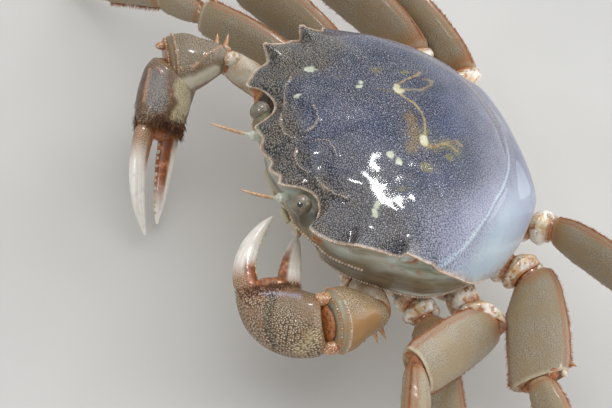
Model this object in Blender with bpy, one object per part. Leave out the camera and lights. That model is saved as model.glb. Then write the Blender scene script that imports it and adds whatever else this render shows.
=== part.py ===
# River crab, life size, standing on eight legs as a museum model shows it.
# It faces -Y, its left side is +X and +Z is up. Sizes below are millimetres in the
# body's own frame: zero is at the level of the shell's side rim, midway across.

import math
import random
from collections import namedtuple

import bmesh
import bpy
from mathutils import Vector

MM = 0.001
GAP = 0.3
FLOOR = -35.0

# Shell
DOME_TOP = 7.6
DOME_CENTRE = Vector((0.0, 2.0, 0.0))
DOME_STEEPNESS = {"front": 3.4, "side": 2.2, "rear": 2.5}
# Behind the middle the dome stays full and drops close to the rim: share of an even
# fall and exponent of the steep one, and the stretch along the body where this sets in
DOME_FULLNESS = {"side": (0.4, 12.0), "rear": (0.45, 8.0)}
FULLNESS_START = (-10.0, 6.0)
DOME_RINGS = (0.16, 0.31, 0.45, 0.57, 0.68, 0.78, 0.86, 0.93, 0.975, 1.0)
TOOTH_FADE = (0.8, 1.0)
UNDERSIDE_LEVEL = -10.8
UNDERSIDE_RINGS = (0.86, 0.6, 0.3)
UNDERSIDE_CURL = 5.0
RIM_DROP = 0.9
RIM_INSET = 0.45
ORBIT_DEPTH = 4.4
ORBIT_SLOPE = 0.5
WALL_SWELL = 0.5
RELAX_PASSES = 14

RimPoint = namedtuple("RimPoint", "x y z lid")

# Half of the rim seen from above, front to back. The lid is how far the lower edge
# of the eye socket stands in front of its upper edge.
RIM = (
    RimPoint(0.0, -24.7, -1.9, 0.0),
    RimPoint(2.6, -26.2, -1.2, 0.0),
    RimPoint(4.9, -25.1, -0.6, 0.0),
    RimPoint(7.1, -26.0, 0.0, 0.0),
    RimPoint(8.4, -23.5, 0.4, 1.4),
    RimPoint(10.0, -21.3, 0.5, 3.4),
    RimPoint(12.1, -20.4, 0.5, 4.0),
    RimPoint(14.6, -20.9, 0.4, 2.9),
    RimPoint(16.6, -22.2, 0.1, 1.0),
    RimPoint(17.9, -23.9, -0.2, 0.0),
    RimPoint(19.7, -22.6, -0.4, 0.0),
    RimPoint(21.7, -20.5, -0.2, 0.0),
    RimPoint(23.2, -17.7, 0.2, 0.0),
    RimPoint(25.2, -18.6, 2.9, 0.0),
    RimPoint(25.6, -16.4, 2.3, 0.0),
    RimPoint(26.2, -13.7, 1.5, 0.0),
    RimPoint(27.1, -11.4, 1.0, 0.0),
    RimPoint(27.6, -9.5, 0.7, 0.0),
    RimPoint(28.9, -9.5, 3.2, 0.0),
    RimPoint(29.2, -7.2, 1.9, 0.0),
    RimPoint(29.6, -5.0, 0.6, 0.0),
    RimPoint(30.0, -3.4, -0.1, 0.0),
    RimPoint(31.0, -2.6, -0.6, 0.0),
    RimPoint(31.0, 2.0, -3.6, 0.0),
    RimPoint(30.4, 6.0, -6.8, 0.0),
    RimPoint(28.9, 9.8, -9.2, 0.0),
    RimPoint(26.4, 15.6, -10.0, 0.0),
    RimPoint(21.6, 21.8, -9.0, 0.0),
    RimPoint(17.6, 25.4, -6.9, 0.0),
    RimPoint(14.0, 27.4, -5.1, 0.0),
    RimPoint(7.0, 28.4, -4.4, 0.0),
    RimPoint(0.0, 28.6, -4.2, 0.0),
)

# Swellings and hollows of the shell's top on one side: centre, reach across and along,
# turn in degrees, and height
Swelling = namedtuple("Swelling", "x y across along turn height")
RELIEF = (
    Swelling(4.6, -20.6, 2.6, 1.5, -14.0, 0.75),
    Swelling(9.4, -17.6, 3.0, 1.8, 20.0, 0.6),
    Swelling(6.6, -9.0, 5.0, 7.0, 0.0, 0.45),
    Swelling(0.0, -16.0, 1.6, 6.0, 0.0, -0.5),
    Swelling(13.6, -7.0, 2.2, 8.0, 36.0, -0.6),
    Swelling(18.6, -15.6, 3.2, 3.6, 0.0, -0.5),
    Swelling(21.5, -9.0, 4.0, 3.5, 30.0, 0.4),
    Swelling(17.5, 6.0, 6.5, 9.0, 0.0, 0.5),
    Swelling(8.4, 4.6, 1.6, 6.5, 12.0, -0.5),
    Swelling(0.0, 10.0, 4.6, 5.0, 0.0, 0.4),
    Swelling(9.0, 22.0, 8.0, 1.8, -8.0, -0.4),
)

# Lower edge of the shell's side wall: place along the body, how far it lies inside
# the rim, and its height
LOWER_EDGE = (
    (-26.0, 2.7, -9.6),
    (-22.0, 3.1, -10.2),
    (-17.0, 3.5, -11.0),
    (-9.0, 2.5, -11.6),
    (-2.0, 1.6, -12.0),
    (6.0, 0.9, -11.6),
    (10.0, 0.5, -10.9),
    (16.0, 0.7, -11.4),
    (22.0, 0.8, -10.6),
    (27.0, 0.9, -6.8),
    (28.6, 0.9, -5.7),
)

# Trunk under the shell: height and how wide it is against the shell's outline
TRUNK_LEVELS = ((-14.0, 0.76), (-17.0, 0.68), (-20.0, 0.52))
TRUNK_TOP_RINGS = (0.3, 0.6, 0.78)

# Limbs
LIMB_SIDES = 10
KEEL = 0.22
CLAW_SIDES = 16
MIN_AXIS_DOT = 0.35
LIMB_BOW = 0.03

Segment = namedtuple("Segment", "length width depth")
Leg = namedtuple("Leg", "root hip face rise heading shank_heading shank_rises shank_face "
                        "thorn_side")

# Third, fourth, fifth and sixth joints of the walking legs, from the front pair back
LEG_SEGMENTS = {
    2: (Segment(24.0, 9.0, 4.6), Segment(11.0, 6.4, 4.6), Segment(17.0, 5.0, 3.6),
        Segment(14.0, 3.0, 2.6)),
    3: (Segment(29.0, 12.2, 5.0), Segment(13.0, 7.4, 5.0), Segment(21.0, 5.8, 3.8),
        Segment(17.0, 3.2, 2.8)),
    4: (Segment(29.0, 12.8, 5.0), Segment(13.0, 7.6, 5.0), Segment(21.0, 6.0, 3.8),
        Segment(17.0, 3.2, 2.8)),
    5: (Segment(23.0, 9.6, 4.4), Segment(10.0, 6.6, 4.4), Segment(16.0, 5.8, 3.2),
        Segment(13.0, 3.0, 2.4)),
}
BASE_WIDTH = {2: 6.2, 3: 6.8, 4: 7.0, 5: 6.2}

LEGS = {
    "left_2": Leg((15.5, -3.4, -16.2), (30.4, 0.2, -17.0), (-0.1, -0.6, 0.8), -15.0, -8.0,
                  -10.0, (-8.0, -26.0), (0.1, -0.9, 0.4), -1.0),
    "left_3": Leg((15.5, 4.2, -16.2), (35.6, 10.8, -15.2), (0.62, 0.55, 0.56), 20.0, -61.0,
                  -20.0, (-14.0, -38.0), (0.5, 0.75, 0.4), -1.0),
    "left_4": Leg((14.0, 11.2, -16.0), (26.2, 24.0, -14.4), (-0.36, -0.55, 0.75), 9.0, -23.5,
                  2.0, (-14.0, -36.0), (-0.1, -0.9, 0.4), -1.0),
    "left_5": Leg((9.0, 15.6, -15.6), (17.2, 32.2, -11.8), (0.3, -0.95, 0.1), 17.0, 18.0,
                  34.0, (-28.0, -62.0), (0.4, -0.85, 0.3), -1.0),
    "right_2": Leg((-15.5, -3.4, -16.2), (-33.2, -2.4, -15.4), (0.57, -0.8, 0.2), 1.0, -137.0,
                   -150.0, (-18.0, -36.0), (0.5, -0.85, 0.1), 1.0),
    "right_3": Leg((-15.5, 4.2, -16.2), (-32.6, 7.2, -15.0), (0.57, -0.8, 0.15), 9.0, -145.0,
                   -162.0, (-14.0, -38.0), (0.3, -0.95, 0.1), 1.0),
    "right_4": Leg((-14.0, 11.2, -16.0), (-33.0, 23.1, -13.6), (0.57, -0.8, 0.15), 10.0,
                   -146.0, -174.0, (-16.0, -40.0), (0.1, -1.0, 0.1), 1.0),
    "right_5": Leg((-9.0, 15.6, -15.6), (-26.8, 32.3, -14.0), (0.5, -0.82, 0.2), 15.0, -152.0,
                   168.0, (-28.0, -60.0), (-0.2, -0.95, 0.2), 1.0),
}

# A claw's joints, then the bend of its palm from wrist to knuckle. Dorsal points from
# the fixed finger to the movable one.
Claw = namedtuple("Claw", "root shoulder elbow wrist heel bend knuckle thumb_tip "
                          "finger_tip face dorsal arm_face thorn_side")
CLAWS = {
    "left": Claw((12.5, -8.6, -17.2), (19.8, -9.4, -17.6), (29.4, -11.0, -13.4),
                 (31.7, -22.3, -11.3), (31.3, -24.1, -12.0), (28.5, -31.5, -15.8),
                 (21.6, -30.8, -12.1), (8.2, -26.0, -8.3), (9.6, -20.0, -13.6),
                 (0.56, -0.43, 0.7), (-0.36, -0.9, -0.27), (0.56, -0.43, 0.7), -1.0),
    "right": Claw((-12.5, -8.6, -17.2), (-26.5, -9.2, -16.2), (-33.9, -20.5, -10.8),
                  (-35.6, -32.5, -12.3), (-34.4, -31.0, -13.2), (-33.2, -32.9, -15.7),
                  (-25.7, -35.6, -20.2), (-9.3, -41.4, -31.9), (-11.9, -37.9, -32.3),
                  (-0.64, -0.47, -0.59), (0.25, -0.87, 0.42), (0.5, -0.3, 0.8), 1.0),
}
PALM_HEIGHT = 12.6
PALM_DEPTH = 9.0
ARM_WIDTH = 6.4
CARPUS_WIDTH = 12.2
CARPUS_DEPTH = 9.0
FINGER_WIDTH = 4.6
FINGER_DEPTH = 3.4
FIXED_FINGER_WIDTH = 5.2
KNUCKLE_OFFSET = 3.6
FINGER_SINK = 3.0
THUMB_BOW = 4.8
FINGER_BOW = 0.8

# Thorns: the joint they stand on, place along it, side and lean, length and width
Thorn = namedtuple("Thorn", "place side lean length width")
CARPUS_THORNS = (Thorn(0.03, -1.0, -0.5, 3.4, 1.6), Thorn(0.14, -1.0, -0.3, 2.6, 1.4))
MERUS_THORN = Thorn(0.9, 1.0, 0.9, 1.8, 1.3)
THORN_SIDES = 6
THORN_SINK = 0.9

# Flat tapering locks of the mitten fur on both faces of each palm
LOCKS_PER_FACE = 13
LOCK_LENGTH = (2.6, 4.2)
LOCK_WIDTH = 1.5
LOCK_THICKNESS = 0.75
LOCK_SINK = 0.9
FUR_SEED = 7

# How each kind of joint swells along its length: place, width and depth as shares
# of its own greatest width and depth
MERUS_FORM = ((0.0, 0.5, 0.7), (0.05, 0.66, 0.9), (0.3, 0.93, 1.0), (0.65, 1.0, 1.0),
              (0.93, 0.97, 0.92), (1.0, 0.86, 0.8))
ARM_FORM = ((0.0, 0.7, 0.7), (0.1, 0.92, 0.92), (0.6, 1.0, 1.0), (0.9, 0.9, 0.9),
            (1.0, 0.74, 0.74))
CARPUS_FORM = ((0.0, 0.62, 0.72), (0.12, 0.8, 0.9), (0.55, 1.0, 1.0), (0.9, 0.98, 0.95),
               (1.0, 0.84, 0.84))
WRIST_FORM = ((0.0, 0.4, 0.5), (0.1, 0.54, 0.66), (0.35, 0.76, 0.86), (0.7, 1.0, 1.0),
              (0.93, 1.0, 0.92), (1.0, 0.88, 0.76))
SHANK_FORM = ((0.0, 0.78, 0.8), (0.1, 0.94, 0.95), (0.4, 1.0, 1.0), (0.92, 0.78, 0.85),
              (1.0, 0.66, 0.74))
TOE_FORM = ((0.0, 0.84, 0.84), (0.12, 1.0, 1.0), (0.5, 0.72, 0.76), (0.85, 0.44, 0.5),
            (1.0, 0.34, 0.4))
BASE_FORM = ((0.0, 0.76, 0.76), (0.15, 0.94, 0.94), (0.6, 0.9, 0.9), (0.88, 1.0, 1.0),
             (1.0, 0.84, 0.84))
PALM_FORM = ((0.0, 0.74, 0.62), (0.06, 0.92, 0.84), (0.3, 1.0, 1.0), (0.6, 1.0, 1.0),
             (0.88, 0.97, 0.82), (1.0, 0.9, 0.62))
FINGER_FORM = ((0.0, 0.9, 0.88), (0.08, 1.0, 1.0), (0.35, 0.88, 0.9), (0.62, 0.72, 0.74),
               (0.86, 0.44, 0.46), (1.0, 0.12, 0.14))

COLOURS = {
    "shell": (0.085, 0.095, 0.13, 1.0),
    "underside": (0.62, 0.6, 0.5, 1.0),
    "limb": (0.4, 0.31, 0.2, 1.0),
    "claw": (0.36, 0.25, 0.15, 1.0),
    "finger": (0.72, 0.62, 0.5, 1.0),
    "eye": (0.1, 0.09, 0.075, 1.0),
    "feeler": (0.55, 0.34, 0.18, 1.0),
}
WET_ROUGHNESS = 0.3


def remove_everything():
    for item in list(bpy.data.objects):
        bpy.data.objects.remove(item, do_unlink=True)


def model_collection():
    collection = bpy.data.collections.new("river_crab")
    bpy.context.scene.collection.children.link(collection)
    return collection


def wet_material(kind):
    material = bpy.data.materials.new(kind)
    material.use_nodes = True
    shader = material.node_tree.nodes["Principled BSDF"]
    shader.inputs["Base Color"].default_value = COLOURS[kind]
    shader.inputs["Roughness"].default_value = WET_ROUGHNESS
    shader.inputs["Metallic"].default_value = 0.0
    return material


def smoothstep(low, high, value):
    share = min(1.0, max(0.0, (value - low) / (high - low)))
    return share * share * (3.0 - 2.0 * share)


def heading_vector(heading, rise):
    turn = math.radians(heading)
    lift = math.radians(rise)
    return Vector((math.cos(turn) * math.cos(lift), math.sin(turn) * math.cos(lift),
                   math.sin(lift)))


def solid_from_rings(name, rings, kind, first=None, last=None):
    """A closed body through rings of points, each end closed on a middle point."""
    form = bmesh.new()
    loops = [[form.verts.new(point * MM) for point in ring] for ring in rings]
    count = len(rings[0])
    for lower, upper in zip(loops, loops[1:]):
        for i in range(count):
            j = (i + 1) % count
            form.faces.new((lower[i], lower[j], upper[j]))
            form.faces.new((lower[i], upper[j], upper[i]))
    for loop, ring, tip in ((loops[0], rings[0], first), (loops[-1], rings[-1], last)):
        middle = tip if tip is not None else sum(ring, Vector()) / count
        centre = form.verts.new(middle * MM)
        for i in range(count):
            form.faces.new((loop[i], loop[(i + 1) % count], centre))
    bmesh.ops.recalc_face_normals(form, faces=form.faces)
    mesh = bpy.data.meshes.new(name)
    form.to_mesh(mesh)
    form.free()
    mesh.shade_smooth()
    mesh.set_sharp_from_angle(angle=math.radians(40.0))
    mesh.materials.append(MATERIALS[kind])
    item = bpy.data.objects.new(name, mesh)
    MODEL.objects.link(item)
    return item


# Shell

def catmull_rom(before, start, end, after, share):
    return 0.5 * ((2.0 * start) + (end - before) * share
                  + (2.0 * before - 5.0 * start + 4.0 * end - after) * share ** 2
                  + (3.0 * start - before - 3.0 * end + after) * share ** 3)


def rim_ring():
    """The whole rim with a point added midway along each span, and its eyelid sizes."""
    half = [Vector((p.x, p.y, p.z, p.lid)) for p in RIM]
    mirrored = [Vector((-p.x, p.y, p.z, p.w)) for p in reversed(half[1:-1])]
    whole = half + mirrored
    count = len(whole)
    ring = []
    for i in range(count):
        ring.append(whole[i])
        ring.append(catmull_rom(whole[i - 1], whole[i], whole[(i + 1) % count],
                                whole[(i + 2) % count], 0.5))
    points = [Vector(p[:3]) for p in ring]
    lids = [max(0.0, p.w) for p in ring]
    return points, lids


def relaxed(ring, passes):
    """The ring with its teeth and sockets smoothed away."""
    points = [p.copy() for p in ring]
    for _ in range(passes):
        points = [(points[i - 1] + points[i] * 2.0 + points[(i + 1) % len(points)]) / 4.0
                  for i in range(len(points))]
    return points


def outward(ring, index):
    """Level direction that points away from the body at one point of a ring."""
    along = ring[(index + 1) % len(ring)] - ring[index - 1]
    return Vector((along.y, -along.x, 0.0)).normalized()


def dome_fall(share, edge):
    """How far the dome has come down to the rim at this share of the way out to it."""
    direction = edge - DOME_CENTRE
    direction.z = 0.0
    facing = -direction.normalized().y
    side = DOME_STEEPNESS["side"]
    end = DOME_STEEPNESS["front"] if facing > 0.0 else DOME_STEEPNESS["rear"]
    rounded = share ** (side + (end - side) * facing * facing)
    even, steep = (a + (b - a) * facing * facing
                   for a, b in zip(DOME_FULLNESS["side"], DOME_FULLNESS["rear"]))
    full = even * share ** 2 + (1.0 - even) * share ** steep
    return rounded + (full - rounded) * smoothstep(*FULLNESS_START, edge.y)


def relief(x, y):
    """Height of the shell's swellings at a point of its top."""
    total = 0.0
    for swelling in RELIEF:
        turn = math.radians(swelling.turn)
        across = abs(x) - swelling.x
        along = y - swelling.y
        u = (across * math.cos(turn) + along * math.sin(turn)) / swelling.across
        v = (along * math.cos(turn) - across * math.sin(turn)) / swelling.along
        total += swelling.height * math.exp(-u * u - v * v)
    return total


def dome_ring(share, rim, smooth):
    ring = []
    blend = smoothstep(TOOTH_FADE[0], TOOTH_FADE[1], share)
    for sharp, soft in zip(rim, smooth):
        edge = soft.lerp(sharp, blend)
        fall = dome_fall(share, edge)
        point = DOME_CENTRE.lerp(edge, share)
        point.z = DOME_TOP - (DOME_TOP - edge.z) * fall
        point.z += relief(point.x, point.y) * (1.0 - smoothstep(0.85, 1.0, share))
        ring.append(point)
    return ring


def edge_row(y):
    """Inset and height of the wall's lower edge at this place along the body."""
    rows = LOWER_EDGE
    if y <= rows[0][0]:
        return rows[0][1:]
    for low, high in zip(rows, rows[1:]):
        if y <= high[0]:
            share = (y - low[0]) / (high[0] - low[0])
            return tuple(a + (b - a) * share for a, b in zip(low[1:], high[1:]))
    return rows[-1][1:]


def wall_rings(rim, lids, smooth):
    """Rim's under edge, socket floor, swell of the wall, and lower edge."""
    under, floor, swell, lower = [], [], [], []
    for i, edge in enumerate(rim):
        out = outward(smooth, i)
        inset, level = edge_row(smooth[i].y)
        foot = smooth[i] - out * inset
        foot.z = level
        socket = min(1.0, lids[i])
        drop = (edge.z - level)
        under.append(edge - out * RIM_INSET - Vector((0.0, 0.0, min(RIM_DROP, drop * 0.3))))
        wall = edge.lerp(foot, 0.38) + out * WALL_SWELL * 0.5
        deep = edge - out * ORBIT_SLOPE
        wall.z = edge.z - drop * 0.38
        deep.z = edge.z - ORBIT_DEPTH
        floor.append(wall.lerp(deep, socket))
        ridge = edge.lerp(foot, 0.62) + out * (WALL_SWELL + lids[i] * 0.85)
        ridge.z = edge.z - drop * 0.62
        swell.append(ridge)
        lower.append(foot)
    return under, floor, swell, lower


def underside_ring(share, lower):
    """Ring of the shell's hidden lower face, the lower edge at share 1."""
    ring = []
    for edge in lower:
        point = DOME_CENTRE.lerp(edge, share)
        point.z = UNDERSIDE_LEVEL + (edge.z - UNDERSIDE_LEVEL) * share ** UNDERSIDE_CURL
        ring.append(point)
    return ring


def shell_outline():
    rim, lids = rim_ring()
    smooth = relaxed(rim, RELAX_PASSES)
    return rim, lids, smooth


def make_shell():
    rim, lids, smooth = shell_outline()
    under, floor, swell, lower = wall_rings(rim, lids, smooth)
    rings = [dome_ring(share, rim, smooth) for share in DOME_RINGS]
    rings += [under, floor, swell, lower]
    rings += [underside_ring(share, lower) for share in UNDERSIDE_RINGS]
    top = Vector((DOME_CENTRE.x, DOME_CENTRE.y, DOME_TOP + relief(*DOME_CENTRE[:2])))
    bottom = Vector((DOME_CENTRE.x, DOME_CENTRE.y, UNDERSIDE_LEVEL))
    return solid_from_rings("carapace", rings, "shell", top, bottom)


def make_trunk():
    """The breast plate with the leg sockets, under the shell."""
    rim, lids, smooth = shell_outline()
    lower = wall_rings(rim, lids, smooth)[3][::2]
    drop = Vector((0.0, 0.0, GAP))
    rings = []
    for share in TRUNK_TOP_RINGS:
        rings.append([p - drop for p in underside_ring(share, lower)])
    for level, share in TRUNK_LEVELS:
        ring = []
        for edge in relaxed(lower, 3):
            point = DOME_CENTRE.lerp(edge, share)
            point.z = level
            ring.append(point)
        rings.append(ring)
    top = Vector((DOME_CENTRE.x, DOME_CENTRE.y, UNDERSIDE_LEVEL - GAP))
    return solid_from_rings("sternum", rings, "underside", top)


# Lofted limbs

def frame_of(axis, face):
    """Unit vectors across and through a limb, whose broad side looks along face."""
    through = (face - axis * face.dot(axis)).normalized()
    across = axis.cross(through).normalized()
    return across, through


def lofted(path, face, form, width, depth, sides, swell=0.0, start_plane=None,
           end_plane=None, keel=0.0):
    """Rings along a path of points. The end planes mitre the first and last rings."""
    rings = []
    count = len(form)
    length = (path(1.0) - path(0.0)).length
    for place, wide, deep in form:
        step = 0.01
        before = path(max(0.0, place - step))
        after = path(min(1.0, place + step))
        axis = (after - before).normalized()
        across, through = frame_of(axis, face)
        centre = path(place)
        if swell and place in (form[0][0], form[count - 1][0]):
            centre = centre + axis * (swell if place > 0.5 else -swell)
        ring = []
        for k in range(sides):
            angle = 2.0 * math.pi * k / sides
            thick = math.sin(angle) * abs(math.sin(angle)) ** keel
            offset = (across * math.cos(angle) * (width * wide * 0.5 + swell)
                      + through * thick * (depth * deep * 0.5 + swell))
            shift = 0.0
            if start_plane is not None:
                lean = offset.dot(start_plane) / max(MIN_AXIS_DOT, axis.dot(start_plane))
                shift -= lean * (1.0 - smoothstep(0.0, 0.4, place))
            if end_plane is not None:
                lean = offset.dot(end_plane) / max(MIN_AXIS_DOT, axis.dot(end_plane))
                shift -= lean * smoothstep(0.6, 1.0, place)
            limit = 0.3 * length
            ring.append(centre + offset + axis * min(limit, max(-limit, shift)))
        rings.append(ring)
    return rings


def straight(start, end, bow=Vector()):
    return lambda share: start.lerp(end, share) + bow * math.sin(math.pi * share)


def bent(start, corner, end):
    """A path that leaves start towards corner and reaches end from it."""
    return lambda share: (start.lerp(corner, share)).lerp(corner.lerp(end, share), share)


def chain_planes(joints):
    """Normals of the planes in which neighbouring joints of a limb meet."""
    axes = [(b - a).normalized() for a, b in zip(joints, joints[1:])]
    return [None] + [(a + b).normalized() for a, b in zip(axes, axes[1:])]


def segment_between(name, start, end, face, form, size, kind, start_plane, end_plane,
                    end_gap=GAP * 0.5):
    """One joint of a limb, half the gap short of the joint planes at both ends."""
    axis = (end - start).normalized()
    first = start + axis * (GAP * 0.5 / axis.dot(start_plane))
    last = end - axis * (end_gap / axis.dot(end_plane))
    path = straight(first, last, Vector((0.0, 0.0, size.length * LIMB_BOW)))
    rings = lofted(path, face, form, size.width, size.depth, LIMB_SIDES, 0.0, start_plane,
                   end_plane, KEEL)
    return solid_from_rings(name, rings, kind)


def grow_thorns(item, start, end, face, form, size, thorns):
    """Thorns on a joint's narrow side, joined into it."""
    axis = (end - start).normalized()
    across, through = frame_of(axis, face)
    spikes = []
    for thorn in thorns:
        half = size.width * 0.5 * share_at(form, thorn.place, 1)
        foot = start.lerp(end, thorn.place) + across * thorn.side * (half - THORN_SINK)
        lean = (across * thorn.side + axis * thorn.lean).normalized()
        tip = foot + lean * (thorn.length + THORN_SINK)
        rings = []
        for place, wide in ((0.0, 1.0), (0.45, 0.72), (0.85, 0.26)):
            centre = foot.lerp(tip, place)
            side, up = frame_of(lean, through)
            rings.append([centre + (side * math.cos(2.0 * math.pi * k / THORN_SIDES)
                                    + up * math.sin(2.0 * math.pi * k / THORN_SIDES))
                          * thorn.width * wide * 0.5 for k in range(THORN_SIDES)])
        spikes.append(solid_from_rings("thorn", rings, "limb", None, tip))
    join(item, spikes)


def share_at(form, place, column):
    """A joint's width (column 1) or depth (column 2) at a place along it."""
    for low, high in zip(form, form[1:]):
        if place <= high[0]:
            step = (place - low[0]) / (high[0] - low[0])
            return low[column] + (high[column] - low[column]) * step
    return form[-1][column]


def rooted(name, start, end, face, width, depth, kind, end_plane):
    """A limb's base and the slightly larger solid that cuts its socket."""
    axis = (end - start).normalized()
    last = end - axis * (GAP * 0.5 / axis.dot(end_plane))
    path = straight(start, last)
    rings = lofted(path, face, BASE_FORM, width, depth, LIMB_SIDES, 0.0, None, end_plane)
    item = solid_from_rings(name, rings, kind)
    rings = lofted(path, face, BASE_FORM, width, depth, LIMB_SIDES, GAP, None, end_plane)
    return item, solid_from_rings(name + "_socket", rings, kind)


def make_leg(name, leg, pair):
    """A walking leg: base, merus, carpus, shank and toe. Gives its socket cutter."""
    sizes = LEG_SEGMENTS[pair]
    hip = Vector(leg.hip)
    knee = hip + heading_vector(leg.heading, leg.rise) * sizes[0].length
    wrist = knee + heading_vector(leg.shank_heading, leg.shank_rises[0]) * sizes[1].length
    ankle = wrist + heading_vector(leg.shank_heading, leg.shank_rises[1]) * sizes[2].length
    drop = ankle.z - FLOOR
    toe_length = sizes[3].length
    fall = -math.degrees(math.asin(min(0.97, drop / toe_length)))
    toe = ankle + heading_vector(leg.shank_heading, fall) * toe_length
    toe.z = FLOOR
    root = Vector(leg.root)
    joints = [root, hip, knee, wrist, ankle, toe]
    planes = chain_planes(joints) + [Vector((0.0, 0.0, -1.0))]
    face = Vector(leg.face)
    shank_face = Vector(leg.shank_face)
    width = BASE_WIDTH[pair]
    _, socket = rooted("leg_" + name + "_base", root, hip, face, width, width, "limb",
                       planes[1])
    parts = (("merus", MERUS_FORM, face), ("carpus", CARPUS_FORM, face.lerp(shank_face, 0.6)),
             ("shank", SHANK_FORM, shank_face), ("toe", TOE_FORM, shank_face))
    for i, (part, form, side) in enumerate(parts):
        end_gap = 0.0 if part == "toe" else GAP * 0.5
        item = segment_between("leg_%s_%s" % (name, part), joints[i + 1], joints[i + 2],
                               side, form, sizes[i], "limb", planes[i + 1],
                               planes[i + 2], end_gap)
        if part == "merus":
            thorn = MERUS_THORN._replace(side=leg.thorn_side)
            grow_thorns(item, joints[i + 1], joints[i + 2], side, form, sizes[i], [thorn])
    return socket


def grow_fur(palm, path, face):
    """Flat locks over the outer third of both faces of a palm, joined into it."""
    dice = random.Random(FUR_SEED)
    locks = []
    for side in (1.0, -1.0):
        for i in range(LOCKS_PER_FACE):
            place = 0.62 + 0.34 * ((i * 0.618) % 1.0)
            spread = -0.8 + 1.6 * (i + 0.5) / LOCKS_PER_FACE
            axis = (path(min(1.0, place + 0.02)) - path(place - 0.02)).normalized()
            across, through = frame_of(axis, face)
            half_high = PALM_HEIGHT * 0.5 * share_at(PALM_FORM, place, 1)
            half_deep = PALM_DEPTH * 0.5 * share_at(PALM_FORM, place, 2)
            out = (across * spread / half_high
                   + through * side * math.sqrt(1.0 - spread * spread) / half_deep)
            out = out.normalized()
            skin = (path(place) + across * spread * half_high
                    + through * side * math.sqrt(1.0 - spread * spread) * half_deep)
            lean = (axis + out * dice.uniform(0.5, 0.8)
                    + across * dice.uniform(-0.25, 0.25)).normalized()
            length = dice.uniform(*LOCK_LENGTH)
            locks.append(lock(skin - out * LOCK_SINK - axis * 0.5, lean, out, length))
    join(palm, locks)


def lock(root, lean, out, length):
    """One flat tapering lock of fur, its broad side towards out."""
    across = lean.cross(out).normalized()
    up = across.cross(lean).normalized()
    rings = []
    for place, wide, thick in ((0.0, 0.8, 1.0), (0.45, 1.0, 0.85), (0.8, 0.6, 0.6)):
        centre = root + lean * (length + LOCK_SINK) * place + up * place * place * 0.5
        half = across * LOCK_WIDTH * 0.5 * wide
        rise = up * LOCK_THICKNESS * 0.5 * thick
        rings.append([centre + half, centre + rise, centre - half, centre - rise])
    tip = root + lean * (length + LOCK_SINK) + up * 0.5
    return solid_from_rings("lock", rings, "claw", None, tip)


def make_claw(side, claw):
    """A cheliped: base, merus, carpus, palm with its fixed finger, and thumb."""
    root, shoulder, elbow, wrist = (Vector(p) for p in
                                    (claw.root, claw.shoulder, claw.elbow, claw.wrist))
    heel, bend, knuckle = Vector(claw.heel), Vector(claw.bend), Vector(claw.knuckle)
    arm_face, face, dorsal = Vector(claw.arm_face), Vector(claw.face), Vector(claw.dorsal)
    planes = chain_planes([root, shoulder, elbow, wrist])
    _, socket = rooted("claw_%s_base" % side, root, shoulder, arm_face, ARM_WIDTH,
                       ARM_WIDTH, "limb", planes[1])
    arm = Segment((elbow - shoulder).length, ARM_WIDTH, ARM_WIDTH)
    segment_between("claw_%s_merus" % side, shoulder, elbow, arm_face, ARM_FORM, arm,
                    "limb", planes[1], planes[2])
    axis = (wrist - elbow).normalized()
    carpus = Segment((wrist - elbow).length, CARPUS_WIDTH, CARPUS_DEPTH)
    item = segment_between("claw_%s_carpus" % side, elbow, wrist, arm_face, WRIST_FORM,
                           carpus, "claw", planes[2], axis)
    thorns = [thorn._replace(side=claw.thorn_side) for thorn in CARPUS_THORNS]
    grow_thorns(item, elbow, wrist, arm_face, WRIST_FORM, carpus, thorns)
    rings = lofted(straight(elbow, wrist), arm_face, WRIST_FORM, CARPUS_WIDTH,
                   CARPUS_DEPTH, LIMB_SIDES, GAP)
    cutter = solid_from_rings("wrist_cutter", rings, "claw")
    path = bent(heel, bend, knuckle)
    rings = lofted(path, face, PALM_FORM, PALM_HEIGHT, PALM_DEPTH, CLAW_SIDES)
    palm = solid_from_rings("claw_%s_palm" % side, rings, "claw")
    carve([palm], [cutter])
    axis = (knuckle - bend).normalized()
    across = (dorsal - axis * dorsal.dot(axis)).normalized()
    start = knuckle - across * KNUCKLE_OFFSET - axis * FINGER_SINK
    tip = Vector(claw.finger_tip)
    path = bent(start, start.lerp(tip, 0.5) + across * FINGER_BOW, tip)
    rings = lofted(path, face, FINGER_FORM, FIXED_FINGER_WIDTH, FINGER_DEPTH, LIMB_SIDES)
    join(palm, [solid_from_rings("fixed_finger", rings, "claw")])
    grow_fur(palm, bent(heel, bend, knuckle), face)
    start = knuckle + across * KNUCKLE_OFFSET + axis * GAP
    tip = Vector(claw.thumb_tip)
    path = bent(start, start.lerp(tip, 0.5) + across * THUMB_BOW, tip)
    rings = lofted(path, face, FINGER_FORM, FINGER_WIDTH, FINGER_DEPTH, LIMB_SIDES, 0.0,
                   axis)
    solid_from_rings("claw_%s_thumb" % side, rings, "finger")
    return socket


# Small parts of the head and the tail flap

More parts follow.
